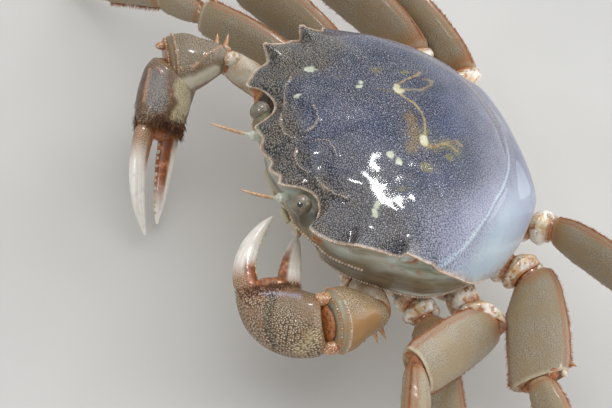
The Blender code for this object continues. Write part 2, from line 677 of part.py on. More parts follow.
EYE_ROOT = Vector((9.6, -22.3, -1.7))
EYE_END = Vector((13.3, -23.9, -0.2))
EYE_SIZE = 3.5
EYE_FORM = ((0.0, 0.5, 0.5), (0.14, 0.56, 0.56), (0.3, 0.66, 0.66), (0.42, 0.94, 0.94),
            (0.6, 1.0, 1.0), (0.8, 0.84, 0.84), (0.94, 0.48, 0.48), (1.0, 0.16, 0.16))
FEELER_ROOT = Vector((7.6, -24.2, -3.4))
FEELER_KNEE = Vector((8.2, -27.4, -3.0))
FEELER_TIPS = {1.0: Vector((7.6, -34.4, 0.6)), -1.0: Vector((-10.6, -33.6, -1.6))}
FEELER_SIZE = 1.9
FEELER_FORM = ((0.0, 1.0, 1.0), (0.2, 1.0, 1.0), (0.26, 0.6, 0.6), (0.34, 0.4, 0.4),
               (0.7, 0.33, 0.33), (1.0, 0.14, 0.14))
JAW_TOP = Vector((4.1, -19.8, -11.6))
JAW_FOOT = Vector((3.6, -16.6, -19.4))
JAW_WIDTH = 7.2
JAW_DEPTH = 2.2
JAW_FORM = ((0.0, 0.8, 0.7), (0.08, 0.96, 1.0), (0.45, 1.0, 1.0), (0.8, 0.8, 1.0),
            (1.0, 0.5, 0.7))
# Tail flap folded under the trunk: place along the body, height and half width where
# two of its segments meet
FLAP = ((25.6, -8.4, 5.6), (25.0, -13.6, 6.4), (21.8, -18.9, 7.8), (16.0, -21.2, 12.6),
        (9.4, -21.7, 15.4), (2.4, -21.7, 15.8), (-4.6, -21.6, 14.0), (-10.4, -21.5, 9.0),
        (-14.2, -21.4, 3.4))
FLAP_DEPTH = 1.5
FLAP_SIDES = 16
SEAM_DEPTH = 0.62
SEAM_WIDTH = 0.16
SEAM_WAIST = 0.96


def mirrored(point, side):
    return Vector((point.x * side, point.y, point.z))


def make_eye(side, label):
    start, end = mirrored(EYE_ROOT, side), mirrored(EYE_END, side)
    rings = lofted(straight(start, end), Vector((0.0, 0.0, 1.0)), EYE_FORM, EYE_SIZE,
                   EYE_SIZE, 12)
    solid_from_rings("eye_" + label, rings, "eye")
    rings = lofted(straight(start, end), Vector((0.0, 0.0, 1.0)), EYE_FORM, EYE_SIZE,
                   EYE_SIZE, 12, GAP)
    return solid_from_rings("eye_socket", rings, "eye")


def make_feeler(side, label):
    start, knee = mirrored(FEELER_ROOT, side), mirrored(FEELER_KNEE, side)
    path = bent(start, knee, FEELER_TIPS[side])
    face = Vector((0.0, 0.0, 1.0))
    rings = lofted(path, face, FEELER_FORM, FEELER_SIZE, FEELER_SIZE, 8)
    solid_from_rings("antenna_" + label, rings, "feeler")
    rings = lofted(path, face, FEELER_FORM, FEELER_SIZE, FEELER_SIZE, 8, GAP)
    return solid_from_rings("feeler_socket", rings, "feeler")


def make_jaw(side, label):
    """One of the two plates that close the mouth from below."""
    start, end = mirrored(JAW_TOP, side), mirrored(JAW_FOOT, side)
    rings = lofted(straight(start, end), Vector((0.0, -1.0, 0.0)), JAW_FORM, JAW_WIDTH,
                   JAW_DEPTH, 12)
    solid_from_rings("mouthpart_" + label, rings, "underside")
    rings = lofted(straight(start, end), Vector((0.0, -1.0, 0.0)), JAW_FORM, JAW_WIDTH,
                   JAW_DEPTH, 12, GAP)
    return solid_from_rings("jaw_cutter", rings, "underside")


def flap_stations():
    """Place, half width and thickness of each ring: full within a segment, thin at seams."""
    stations = []
    for low, high in zip(FLAP, FLAP[1:]):
        for share, wide, thick in ((0.0, SEAM_WAIST, SEAM_DEPTH), (SEAM_WIDTH, 1.0, 1.0),
                                   (1.0 - SEAM_WIDTH, 1.0, 1.0)):
            y, z, half = (a + (b - a) * share for a, b in zip(low, high))
            stations.append((Vector((0.0, y, z)), half * wide, thick))
    y, z, half = FLAP[-1]
    stations.append((Vector((0.0, y, z)), half, SEAM_DEPTH))
    return stations


def flap_rings(swell):
    rings = []
    stations = flap_stations()
    last = len(stations) - 1
    for i, (here, half, thick) in enumerate(stations):
        axis = (stations[min(last, i + 1)][0] - stations[max(0, i - 1)][0]).normalized()
        through = Vector((1.0, 0.0, 0.0)).cross(axis)
        if swell and i in (0, last):
            here = here + axis * (swell if i else -swell)
        ring = []
        for k in range(FLAP_SIDES):
            angle = 2.0 * math.pi * k / FLAP_SIDES
            ring.append(here + Vector((math.cos(angle) * (half + swell), 0.0, 0.0))
                        + through * math.sin(angle) * (FLAP_DEPTH * 0.5 * thick + swell))
        rings.append(ring)
    return rings


def make_flap():
    solid_from_rings("abdomen", flap_rings(0.0), "underside")
    return solid_from_rings("flap_cutter", flap_rings(GAP), "underside")


# Joining and cutting

def boolean(target, operation, pieces):
    group = bpy.data.collections.new("cutters")
    bpy.context.scene.collection.children.link(group)
    for piece in pieces:
        MODEL.objects.unlink(piece)
        group.objects.link(piece)
    step = target.modifiers.new("solid", "BOOLEAN")
    step.operation = operation
    step.operand_type = "COLLECTION"
    step.collection = group
    step.solver = "EXACT"
    bpy.context.view_layer.update()
    graph = bpy.context.evaluated_depsgraph_get()
    mesh = bpy.data.meshes.new_from_object(target.evaluated_get(graph))
    target.modifiers.clear()
    own = target.data.materials[0]
    target.data = mesh
    mesh.materials.clear()
    mesh.materials.append(own)
    keep_largest(target)
    for piece in pieces:
        group.objects.unlink(piece)
        MODEL.objects.link(piece)
    bpy.data.collections.remove(group)


def carve(targets, cutters):
    for target in targets:
        boolean(target, "DIFFERENCE", cutters)
    for cutter in cutters:
        bpy.data.objects.remove(cutter, do_unlink=True)


def join(target, pieces):
    boolean(target, "UNION", pieces)
    for piece in pieces:
        bpy.data.objects.remove(piece, do_unlink=True)


def keep_largest(item):
    """Leave only the largest closed surface of a mesh."""
    form = bmesh.new()
    form.from_mesh(item.data)
    bmesh.ops.triangulate(form, faces=form.faces)
    unseen = set(form.faces)
    shells = []
    while unseen:
        stack = [unseen.pop()]
        shell = []
        while stack:
            face = stack.pop()
            shell.append(face)
            for edge in face.edges:
                for other in edge.link_faces:
                    if other in unseen:
                        unseen.remove(other)
                        stack.append(other)
        shells.append(shell)
    shells.sort(key=lambda shell: sum(face.calc_area() for face in shell))
    for shell in shells[:-1]:
        bmesh.ops.delete(form, geom=shell, context="FACES")
    form.to_mesh(item.data)
    form.free()


def settle_on_floor():
    """Move every mesh so that the box's bottom centre is the origin."""
    corners = [vertex.co for item in MODEL.objects for vertex in item.data.vertices]
    low = Vector([min(c[i] for c in corners) for i in range(3)])
    high = Vector([max(c[i] for c in corners) for i in range(3)])
    shift = Vector((-(low.x + high.x) * 0.5, -(low.y + high.y) * 0.5, -low.z))
    for item in MODEL.objects:
        for vertex in item.data.vertices:
            vertex.co += shift


def main():
    shell = make_shell()
    trunk = make_trunk()
    cutters = []
    for side, label in ((1.0, "left"), (-1.0, "right")):
        cutters += [make_eye(side, label), make_feeler(side, label), make_jaw(side, label)]
    cutters.append(make_flap())
    for side, claw in CLAWS.items():
        cutters.append(make_claw(side, claw))
    for name, leg in LEGS.items():
        cutters.append(make_leg(name, leg, int(name[-1])))
    carve([shell, trunk], cutters)
    settle_on_floor()


remove_everything()
MODEL = model_collection()
MATERIALS = {kind: wet_material(kind) for kind in COLOURS}
main()
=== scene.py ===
import math
import bpy
import numpy as np
from mathutils import Matrix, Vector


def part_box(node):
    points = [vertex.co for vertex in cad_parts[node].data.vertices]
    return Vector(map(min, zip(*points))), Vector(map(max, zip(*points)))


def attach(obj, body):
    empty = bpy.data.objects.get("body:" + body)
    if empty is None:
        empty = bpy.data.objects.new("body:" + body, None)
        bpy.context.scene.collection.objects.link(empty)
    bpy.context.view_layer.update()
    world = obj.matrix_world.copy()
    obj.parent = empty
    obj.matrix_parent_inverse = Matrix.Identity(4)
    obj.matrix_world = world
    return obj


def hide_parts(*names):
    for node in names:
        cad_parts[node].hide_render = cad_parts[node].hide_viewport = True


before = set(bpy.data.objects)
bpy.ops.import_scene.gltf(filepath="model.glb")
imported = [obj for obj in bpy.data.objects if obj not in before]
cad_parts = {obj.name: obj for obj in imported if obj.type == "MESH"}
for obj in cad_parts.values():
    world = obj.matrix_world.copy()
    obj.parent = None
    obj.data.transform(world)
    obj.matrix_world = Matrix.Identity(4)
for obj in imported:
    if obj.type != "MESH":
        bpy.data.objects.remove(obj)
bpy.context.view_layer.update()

# The looks of a river crab. Lengths are millimetres in the body's own frame, as in the
# part: zero at the shell's side rim, face towards -Y, left side +X.

MM = 0.001
FLOOR = -35.0
SHELL_LOW, SHELL_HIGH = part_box("carapace")
SHIFT = np.array([(SHELL_LOW.x + SHELL_HIGH.x) * 0.5 / MM, SHELL_HIGH.y / MM - 28.6, -FLOOR])
SIDES = ((1.0, "left"), (-1.0, "right"))
DICE = np.random.default_rng(11)


def vec(*xyz):
    return np.array(xyz, float)


def unit(v):
    return v / np.maximum(np.linalg.norm(v, axis=-1, keepdims=True), 1e-9)


def step(low, high, value):
    s = np.clip((value - low) / (high - low), 0.0, 1.0)
    return s * s * (3.0 - 2.0 * s)


def bell(value, reach):
    return np.exp(-(value / reach) ** 2)


def spline(a, b, c, d, t):
    """Smooth curve from b to c, with a and d as its neighbours."""
    return 0.5 * (2 * b + (c - a) * t + (2 * a - 5 * b + 4 * c - d) * t * t
                  + (3 * b - a - 3 * c + d) * t ** 3)


def pchip(xs, ys, t):
    """Smooth curve through a table without overshoot."""
    x, y = np.array(xs, float), np.array(ys, float)
    h = np.diff(x)
    d = np.diff(y) / h
    m = np.zeros_like(y)
    same = d[:-1] * d[1:] > 0
    m[1:-1] = np.where(same, 2 * d[:-1] * d[1:] / np.where(same, d[:-1] + d[1:], 1.0), 0.0)
    m[0], m[-1] = d[0], d[-1]
    k = np.clip(np.searchsorted(x, t, side="right") - 1, 0, len(h) - 1)
    s = (t - x[k]) / h[k]
    return ((2 * s ** 3 - 3 * s ** 2 + 1) * y[k] + (s ** 3 - 2 * s ** 2 + s) * h[k] * m[k]
            + (-2 * s ** 3 + 3 * s ** 2) * y[k + 1] + (s ** 3 - s ** 2) * h[k] * m[k + 1])


# Smooth value noise for forms, the same each run
LATTICE = np.random.default_rng(3).random((32, 32, 32)) * 2.0 - 1.0


def wander(p, size):
    """Noise from -1 to 1 that changes over size millimetres."""
    q = np.asarray(p, float) / size
    i = np.floor(q).astype(int)
    f = q - i
    f = f * f * (3.0 - 2.0 * f)
    total = 0.0
    for dx in (0, 1):
        for dy in (0, 1):
            for dz in (0, 1):
                corner = np.array((dx, dy, dz))
                w = np.where(corner, f, 1 - f).prod(-1)
                x, y, z = np.moveaxis((i + corner) % 32, -1, 0)
                total = total + w * LATTICE[x, y, z]
    return total


# Meshes

def add_piece(name, verts, faces, material, nodes=(), masks=None, skin=None):
    """A mesh piece in the crab's frame that rides the body and may replace solids."""
    mesh = bpy.data.meshes.new(name)
    verts = np.array(verts, float)
    verts[:, 2] = np.maximum(verts[:, 2], FLOOR)
    mesh.from_pydata(((verts + SHIFT) * MM).tolist(), [], faces)
    mesh.shade_smooth()
    if skin is not None:
        layer = mesh.attributes.new("skin", "FLOAT_VECTOR", "POINT")
        flat = np.column_stack([skin, np.zeros(len(skin))])
        layer.data.foreach_set("vector", flat.astype(np.float32).ravel())
    for key, values in (masks or {}).items():
        layer = mesh.attributes.new(key, "FLOAT", "POINT")
        layer.data.foreach_set("value", np.clip(values, 0.0, 1.0).astype(np.float32).ravel())
    mesh.materials.append(material)
    item = bpy.data.objects.new(name, mesh)
    bpy.context.scene.collection.objects.link(item)
    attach(item, "root")
    if nodes:
        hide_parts(*nodes)
    return item


def skin_rings(rings, first=None, last=None):
    """Vertices and faces of a closed body through rings (rings, sides, 3)."""
    count, sides = rings.shape[:2]
    verts = rings.reshape(-1, 3)
    ends = np.array([first if first is not None else rings[0].mean(0),
                     last if last is not None else rings[-1].mean(0)])
    verts = np.vstack([verts, ends])
    r, s = np.meshgrid(np.arange(count - 1), np.arange(sides), indexing="ij")
    here, there = (r * sides + s).ravel(), (r * sides + (s + 1) % sides).ravel()
    quads = np.stack([here, there, there + sides, here + sides], 1)
    loop = np.arange(sides)
    turn = (loop + 1) % sides
    low = np.stack([turn, loop, np.full(sides, count * sides)], 1)
    top = (count - 1) * sides
    high = np.stack([top + loop, top + turn, np.full(sides, count * sides + 1)], 1)
    flat = verts[quads]
    volume = np.einsum("ij,ij->i", flat[:, 0], np.cross(flat[:, 1], flat[:, 2])).sum()
    volume += np.einsum("ij,ij->i", flat[:, 0], np.cross(flat[:, 2], flat[:, 3])).sum()
    faces = quads.tolist() + low.tolist() + high.tolist()
    if volume < 0:
        faces = [face[::-1] for face in faces]
    return verts, faces


def tube(centre, across, up, wide, high, sides, power=1.0):
    """Rings of points around a line, flattened by a power below 1."""
    angle = np.linspace(0, 2 * math.pi, sides, endpoint=False)
    across, up = (np.broadcast_to(v, centre.shape)[:, None, :] for v in (across, up))
    rise = np.sign(np.sin(angle)) * np.abs(np.sin(angle)) ** power
    return (centre[:, None, :] + across * (wide[:, None] * np.cos(angle))[..., None]
            + up * (high[:, None] * rise)[..., None])


class Heap:
    """Many small closed forms gathered in one mesh."""

    def __init__(self):
        self.verts, self.faces, self.count = [], [], 0

    def add(self, verts, faces):
        self.verts.append(np.asarray(verts))
        self.faces += [[i + self.count for i in face] for face in faces]
        self.count += len(verts)

    def array(self):
        return np.vstack(self.verts)


# Materials

class Nodes:
    """Short names for the shader nodes that the materials use."""

    def __init__(self, name):
        self.material = bpy.data.materials.new(name)
        self.material.use_nodes = True
        self.tree = self.material.node_tree
        self.shader = self.tree.nodes["Principled BSDF"]
        self.place = self.new("ShaderNodeTexCoord").outputs["Object"]

    def new(self, kind, inputs=(), **settings):
        """A node with its settings; inputs take sockets or values."""
        node = self.tree.nodes.new(kind)
        for key, value in settings.items():
            setattr(node, key, value)
        for key, value in dict(inputs).items():
            self.wire(node.inputs[key], value)
        return node

    def wire(self, socket, value):
        if isinstance(value, bpy.types.NodeSocket):
            self.tree.links.new(value, socket)
        else:
            socket.default_value = value

    def mask(self, name, output="Fac"):
        return self.new("ShaderNodeAttribute", attribute_name=name).outputs[output]

    def noise(self, size, detail=3.0, rough=0.55, place=None):
        return self.new("ShaderNodeTexNoise", {
            "Vector": place or self.place, "Scale": 1.0 / (size * MM), "Detail": detail,
            "Roughness": rough}).outputs["Fac"]

    def grains(self, size, jitter=0.65):
        """Granules laid out on the skin's own two directions, in millimetres: distance
        to the nearest one, and a tone for each."""
        cells = self.new("ShaderNodeTexVoronoi", {
            "Vector": self.mask("skin", "Vector"), "Scale": 1.0 / size,
            "Randomness": jitter}, voronoi_dimensions="2D")
        split = self.new("ShaderNodeSeparateColor", {0: cells.outputs["Color"]})
        return cells.outputs["Distance"], split.outputs[0]

    def streaks(self, size, stretch):
        """Noise drawn out along the skin's first direction."""
        turn = self.new("ShaderNodeMapping", {
            "Scale": (stretch, 1.0, 1.0), "Vector": self.mask("skin", "Vector")})
        return self.noise(size / MM, 4.0, 0.6, turn.outputs["Vector"])

    def maths(self, operation, a, b=0.0):
        return self.new("ShaderNodeMath", {0: a, 1: b}, operation=operation).outputs[0]

    def times(self, a, b):
        return self.maths("MULTIPLY", a, b)

    def span(self, value, low, high, to_low=0.0, to_high=1.0):
        return self.new("ShaderNodeMapRange", {
            "Value": value, "From Min": low, "From Max": high, "To Min": to_low,
            "To Max": to_high}, interpolation_type="SMOOTHSTEP").outputs["Result"]

    def mix(self, share, a, b):
        node = self.new("ShaderNodeMix", {"Factor": share}, data_type="RGBA")
        colours = [s for s in node.inputs if s.type == "RGBA"]
        for socket, value in zip(colours, (a, b)):
            self.wire(socket, rgb(value) if isinstance(value, str) else value)
        return [s for s in node.outputs if s.type == "RGBA"][0]

    def blend(self, value, low, high, a, b):
        """Colour a below the span and colour b above it."""
        return self.mix(self.span(value, low, high), a, b)

    def paint(self, colour, mask, paint, share=1.0):
        """Paint laid over a colour by a named mask or a socket, up to a share."""
        where = self.mask(mask) if isinstance(mask, str) else mask
        return self.mix(self.times(where, share), colour, paint)

    def bump(self, height, depth, strength=1.0, over=None):
        inputs = {"Height": height, "Strength": strength, "Distance": depth * MM}
        if over is not None:
            inputs["Normal"] = over
        return self.new("ShaderNodeBump", inputs).outputs["Normal"]

    def finish(self, colour, rough, normal=None, coat=0.6, coat_rough=0.12, specular=0.5,
               scatter=0.0, film=None):
        for key, value in (("Base Color", colour), ("Roughness", rough), ("Normal", normal),
                           ("Coat Weight", coat), ("Coat Roughness", coat_rough),
                           ("Coat Normal", film), ("Specular IOR Level", specular),
                           ("Subsurface Weight", scatter), ("Subsurface Scale", 0.8 * MM)):
            if value is not None:
                self.wire(self.shader.inputs[key], value)
        return self.material


def rgb(text):
    """A colour from a hex string of display values."""
    parts = [int(text[i:i + 2], 16) / 255.0 for i in (0, 2, 4)]
    return tuple(c / 12.92 if c <= 0.04045 else ((c + 0.055) / 1.055) ** 2.4
                 for c in parts) + (1.0,)


def shell_material():
    n = Nodes("wet_shell")
    broad, cloud, fine = n.noise(7.0, 3.0), n.noise(4.0, 2.0), n.noise(1.4, 4.0)
    streak = n.streaks(2.4, 0.14)
    wall = n.mix(n.span(n.streaks(5.0, 0.3), 0.45, 0.7, 0.0, 0.6),
                 n.blend(streak, 0.38, 0.62, "c0c9bd", "92937a"), "d7ddd2")
    colour = n.mix(n.span(cloud, 0.5, 0.75, 0.0, 0.45),
                   n.blend(broad, 0.35, 0.65, "222b46", "313a54"), "4d4652")
    for mask, share, paint in (
            ("navy", 0.6, "293a6c"),
            ("olive", 0.9, n.blend(cloud, 0.4, 0.6, "4a4638", "655637")),
            ("lilac", 0.85, n.blend(broad, 0.4, 0.6, "74728a", "83869c")),
            # The pale blue-grey a9abc2 is painted sheen, the sky's reflection on the left side
            # only.
            # The warm grey 857c80 is painted sheen along the far side's crease.
            ("painted_sheen", 0.75, "a9abc2"), ("far_rim_sheen", 0.75, "857c80"),
            # Pale cyan on the flanks: a faint tint on both sides, with painted sky reflection far
            # stronger on the left.
            ("pale_flank_and_sheen", 1.0, n.blend(broad, 0.35, 0.65, "bed3de", "cfe2e6")),
            ("wall", 1.0, wall), ("low", 0.92, n.blend(streak, 0.35, 0.6, "5c4528", "8f7d5a")),
            (n.times(n.mask("stain"), n.span(cloud, 0.42, 0.6)), 1.0, "a4622e"),
            ("line", 1.0, "dfe3dc"), ("tan", 0.75, "9c7f48"), ("shade", 0.75, "2a2018"),
            ("halo", 0.85, "9c9256")):
        colour = n.paint(colour, mask, paint, share)
    grain, tone = n.grains(0.35, 0.75)
    dots = n.span(grain, 0.44, 0.14)
    tint = n.times(n.maths("MAXIMUM", n.mask("halo"), n.mask("tan")), 0.7)
    share = n.times(n.times(dots, n.span(tone, 0.1, 0.9, 0.4, 1.0)), n.mask("grain"))
    share = n.times(share, n.maths("SUBTRACT", 1.0, tint))
    light = n.paint(n.blend(broad, 0.4, 0.6, "a2a8bf", "bdb6bd"), "olive", "b8aa92", 0.5)
    flecks = n.times(n.span(n.grains(1.7, 1.0)[0], 0.085, 0.04), n.mask("fleck"))
    for mask, share, paint in (
            (n.times(n.span(grain, 0.34, 0.6), n.mask("grain")), 0.85, "131219"),
            (share, 0.8, light),
            (n.times(n.mask("gold"), n.span(fine, 0.25, 0.5, 0.6, 1.0)), 1.0,
             n.blend(fine, 0.42, 0.6, "c0ac78", "8f6a3c")),
            ("cream", 1.0, n.blend(fine, 0.4, 0.6, "e9e6c8", "d8d3a8")),
            # The pale d9c3b2 along the ridge tops is a painted highlight.
            (flecks, 1.0, "b9c0cc"), ("crest_highlight", 0.5, "d9c3b2"),
            ("rim", 0.85, n.blend(fine, 0.4, 0.6, "b3977f", "dccfc2")),
            # Pale spots of the shell; the one on the right front tubercle is a painted highlight.
            ("pale", 1.0, n.blend(fine, 0.35, 0.65, "c4c9ae", "dde0cc")),
            # The near-black in the eye sockets is painted shade in the recess.
            ("socket_shade", 1.0, n.blend(fine, 0.35, 0.65, "1c1410", "3f2818")),
            ("flesh", 1.0, n.blend(fine, 0.4, 0.6, "a65b26", "c98a50"))):
        colour = n.paint(colour, mask, paint, share)
    height = n.times(dots, n.mask("grain"))
    normal = n.bump(fine, 0.1, 0.4, n.bump(height, 0.07, 0.8))
    return n.finish(colour, n.span(fine, 0.3, 0.7, 0.42, 0.55), normal, 0.75, 0.06, 0.3, 0.0,
                    n.bump(height, 0.004, 0.8))


def horn_material(name, colours, grain, shares, coat, *patches):
    """Limb horn: masks carry the bristled edges, the joint rims and the marks; light
    granules sit in a dark net."""
    n = Nodes(name)
    base, second, edge, rim, dot, net, cap = colours.split()
    broad, fine = n.noise(5.0, 3.0), n.noise(0.9, 4.0)
    colour = n.paint(n.blend(broad, 0.35, 0.65, base, second), "line", edge, 0.85)
    for mask, paint, share in patches:
        colour = n.paint(colour, mask, paint, share)
    cells, tone = n.grains(grain, 0.78)
    plain = n.maths("SUBTRACT", 1.0, n.maths("MAXIMUM", n.mask("cap"), n.mask("plain")))
    plain = n.times(plain, n.span(broad, 0.3, 0.62, 0.25, 1.0))
    dots = n.span(cells, 0.36, 0.13)
    light = n.times(n.times(dots, n.span(tone, 0.15, 0.8, 0.35, 1.0)), plain)
    for mask, share, paint in (
            (n.times(n.span(cells, 0.32, 0.58), plain), shares[1], net),
            (light, shares[0], dot),
            (n.times(n.mask("edge"), n.span(fine, 0.2, 0.6, 0.5, 1.0)), 1.0, edge),
            (n.times(n.mask("rim"), n.span(fine, 0.3, 0.6, 0.5, 1.0)), 1.0, rim)):
        colour = n.paint(colour, mask, paint, share)
    colour = n.paint(colour, "cap", n.blend(fine, 0.3, 0.7, cap, colour))
    colour = n.paint(colour, n.span(n.noise(0.8, 2.0), 0.68, 0.74), edge, 0.75)
    normal = n.bump(fine, 0.1, 0.5, n.bump(dots, 0.05, 0.8))
    return n.finish(colour, n.span(fine, 0.3, 0.7, 0.4, 0.55), normal, coat, 0.12, 0.4)


def base_material():
    """Sculpted joints next to the body: glossy cream with orange-brown in the folds."""
    n = Nodes("base_horn")
    broad, fine = n.noise(2.2, 3.0), n.noise(0.6, 4.0)
    fold = n.maths("MAXIMUM", n.mask("fold"), n.span(n.noise(1.3, 3.0), 0.52, 0.64, 0.0, 0.85))
    fold = n.maths("MAXIMUM", fold, n.times(n.mask("rim"), 0.8))
    colour = n.paint(n.blend(broad, 0.4, 0.6, "f8f1e4", "e0c296"), fold,
                     n.blend(fine, 0.35, 0.65, "96521f", "cb8744"))
    normal = n.bump(fine, 0.15, 0.6, n.bump(n.noise(1.6, 3.0), 0.5, 0.8))
    return n.finish(colour, n.span(fine, 0.3, 0.7, 0.3, 0.45), normal, 0.7, 0.1, 0.5, 0.08)


def finger_material():
    n = Nodes("ivory_finger")
    cloud = n.noise(1.5, 4.0)
    dots = n.span(n.grains(0.34)[0], 0.46, 0.18)
    colour = n.blend(n.streaks(0.9, 0.12), 0.35, 0.65, "fffaf0", "ebe2d4")
    colour = n.mix(n.span(cloud, 0.5, 0.75, 0.0, 0.4), colour, "c6c0c8")
    root = n.paint(n.blend(cloud, 0.3, 0.7, "a8703f", "8a5c34"), dots, "dac9ae", 0.65)
    amount = n.times(n.mask("inner"), n.maths("SUBTRACT", 1.0, n.mask("tip")))
    amount = n.times(amount, n.span(cloud, 0.2, 0.5, 0.6, 1.0))
    colour = n.paint(n.paint(colour, "root", root), amount,
                     n.blend(cloud, 0.35, 0.6, "bb6627", "864620"))
    normal = n.bump(n.times(dots, n.mask("root")), 0.06, 0.8, n.bump(cloud, 0.12, 0.7))
    return n.finish(colour, n.span(cloud, 0.3, 0.7, 0.3, 0.45), normal, 0.5, 0.12, 0.5, 0.1)


# Materials of two tones: noise size and detail, its span, the tones, roughness, depth and
# strength of the bump, then coat, coat roughness, specular level and scatter
TWO_TONES = {
    "shell_beads": (1.2, 2.0, 0.35, 0.65, "c9a88c", "e2cfba", 0.4, 0.05, 1.0, 0.5, 0.15, 0.5,
                    0.1),
    "pale_knobs": (0.9, 3.0, 0.4, 0.68, "dcd3c0", "b5804d", 0.35, 0.12, 0.7, 0.6, 0.08, 0.5,
                   0.1),
    "thorns": (1.0, 3.0, 0.35, 0.65, "b87c48", "d8ab7c", 0.4, 0.08, 0.6, 0.5, 0.12),
    "bristles": (1.1, 2.0, 0.3, 0.7, "a8653a", "c98f5c", 0.55, 0.05, 0.5, 0.1, 0.3, 0.4),
    "mitten_fur": (1.1, 2.0, 0.3, 0.7, "4f301b", "8f5c33", 0.55, 0.05, 0.5, 0.1, 0.3, 0.4),
    "pale_floor": (60.0, 2.0, 0.3, 0.7, "d0ceca", "d6d4d0", 0.8, 0.0, 0.0, 0.0, 0.3, 0.2),
}


def two_tones(name):
    size, detail, low, high, a, b, rough, depth, strength, *rest = TWO_TONES[name]
    n = Nodes(name)
    tone = n.noise(size, detail)
    normal = n.bump(tone, depth, strength) if depth else None
    return n.finish(n.blend(tone, low, high, a, b), rough, normal, *rest)


def soft_material():
    n = Nodes("joint_skin")
    tone, fold = n.noise(0.8, 4.0), n.noise(0.35, 3.0)
    colour = n.paint(n.blend(tone, 0.32, 0.62, "7f421b", "bd7537"),
                     n.span(fold, 0.62, 0.72), "dcb98a")
    return n.finish(colour, 0.38, n.bump(fold, 0.2, 0.8, n.bump(tone, 0.4)), 0.7, 0.1, 0.5, 0.15)


def hinge_material():
    n = Nodes("claw_hinges")
    tone, grain = n.noise(1.2, 3.0), n.noise(0.28, 1.0)
    colour = n.paint(n.blend(tone, 0.35, 0.65, "b4703a", "cf9862"),
                     n.span(grain, 0.55, 0.64), "efe3d0")
    return n.finish(colour, 0.4, n.bump(grain, 0.15, 0.9), 0.6, 0.1, 0.5, 0.1)


def edged_material(name, sizes, tones, edges, *finish):
    """Two tones, and two more where the edge mask is."""
    n = Nodes(name)
    tone, fine = n.noise(sizes[0], 3.0), n.noise(sizes[1], 3.0)
    colour = n.paint(n.blend(tone, 0.35, 0.65, *tones), "edge", n.blend(fine, 0.4, 0.6, *edges))
    rough, depth, strength, *rest = finish
    return n.finish(colour, rough, n.bump(fine, depth, strength), *rest)


def eye_material():
    n = Nodes("eye")
    wave = n.maths("SINE", n.times(n.mask("round"), 95.0))
    blotch = n.noise(0.9, 3.0)
    colour = n.paint(n.blend(wave, -0.7, 0.7, "574e42", "887c68"),
                     n.span(blotch, 0.45, 0.7), "a59a80", 0.45)
    colour = n.paint(colour, "stalk", n.blend(blotch, 0.4, 0.6, "8d8a6e", "a9a58a"))
    return n.finish(n.paint(colour, "pupil", "17120e"), 0.3, None, 0.9, 0.05)


# Shell

RIM = np.array([
    (0.0, -24.7, -1.9), (2.6, -26.2, -1.2), (4.9, -25.1, -0.6), (7.1, -26.0, 0.0),
    (8.4, -23.5, 0.4), (10.0, -21.3, 0.5), (12.1, -20.4, 0.5), (14.6, -20.9, 0.4),
    (16.6, -22.2, 0.1), (17.9, -23.9, -0.2), (19.7, -22.6, -0.4), (21.7, -20.5, -0.2),
    (23.2, -17.7, 0.2), (25.2, -18.6, 2.9), (25.6, -16.4, 2.3), (26.2, -13.7, 1.5),
    (27.1, -11.4, 1.0), (27.6, -9.5, 0.7), (28.9, -9.5, 3.2), (29.2, -7.2, 1.9),
    (29.6, -5.0, 0.6), (30.0, -3.4, -0.1), (31.0, -2.6, -0.6), (31.0, 2.0, -3.6),
    (30.4, 6.0, -6.8), (28.9, 9.8, -9.2), (26.4, 15.6, -10.0), (21.6, 21.8, -9.0),
    (17.6, 25.4, -6.9), (14.0, 27.4, -5.1), (7.0, 28.4, -4.4), (0.0, 28.6, -4.2)])
# How far the lids of the eye sockets stand out, by the rim's point
LIDS = {4: 1.4, 5: 3.4, 6: 4.0, 7: 2.9, 8: 1.0}
LOWER_EDGE = np.array([
    (-26.0, 2.7, -9.6), (-22.0, 3.1, -10.2), (-17.0, 3.5, -11.0), (-9.0, 2.5, -11.6),
    (-2.0, 1.6, -12.0), (6.0, 0.9, -11.6), (10.0, 0.5, -10.9), (16.0, 0.7, -11.4),
    (22.0, 0.8, -10.6), (27.0, 0.9, -6.8), (28.6, 0.9, -5.7)])
# Swellings: centre, reach across and along, turn, height
RELIEF = (
    (4.4, -20.0, 2.6, 1.7, -12.0, 1.0), (11.2, -16.6, 3.3, 2.1, 24.0, 1.0),
    (6.6, -9.0, 5.0, 7.0, 0.0, 0.5), (0.0, -17.0, 1.6, 5.5, 0.0, -0.8),
    (14.2, -8.0, 3.0, 7.0, 34.0, -0.45), (18.6, -16.2, 3.4, 3.0, 0.0, -0.5),
    (19.6, -4.4, 4.6, 2.6, -10.0, 0.45), (23.2, -12.4, 2.6, 3.4, 20.0, -0.35),
    (17.5, 7.0, 6.5, 8.0, 0.0, 0.5), (8.2, 3.6, 2.0, 6.0, 10.0, -0.45),
    (0.0, 10.0, 5.0, 5.0, 0.0, 0.4), (9.0, 22.0, 8.0, 2.2, -8.0, -0.4),
    (13.6, -13.4, 1.6, 1.3, 0.0, 0.22), (20.5, -8.6, 1.5, 1.2, 30.0, 0.2),
    (4.0, -3.0, 2.5, 3.0, 0.0, 0.2), (7.4, -18.2, 2.2, 0.9, 20.0, -0.5),
    (11.8, -3.0, 1.2, 5.0, -25.0, -0.22))
# Height of the dome, the middle of its rings and the points between two of the rim's
TOP = 7.6
CENTRE = vec(0.0, 2.0, 0.0)
SUB = 12
# Where the rings of the dome lie, as shares of the way out
SHARES = np.concatenate([np.linspace(0.01, 0.8, 90), np.linspace(0.806, 1.0, 48)])
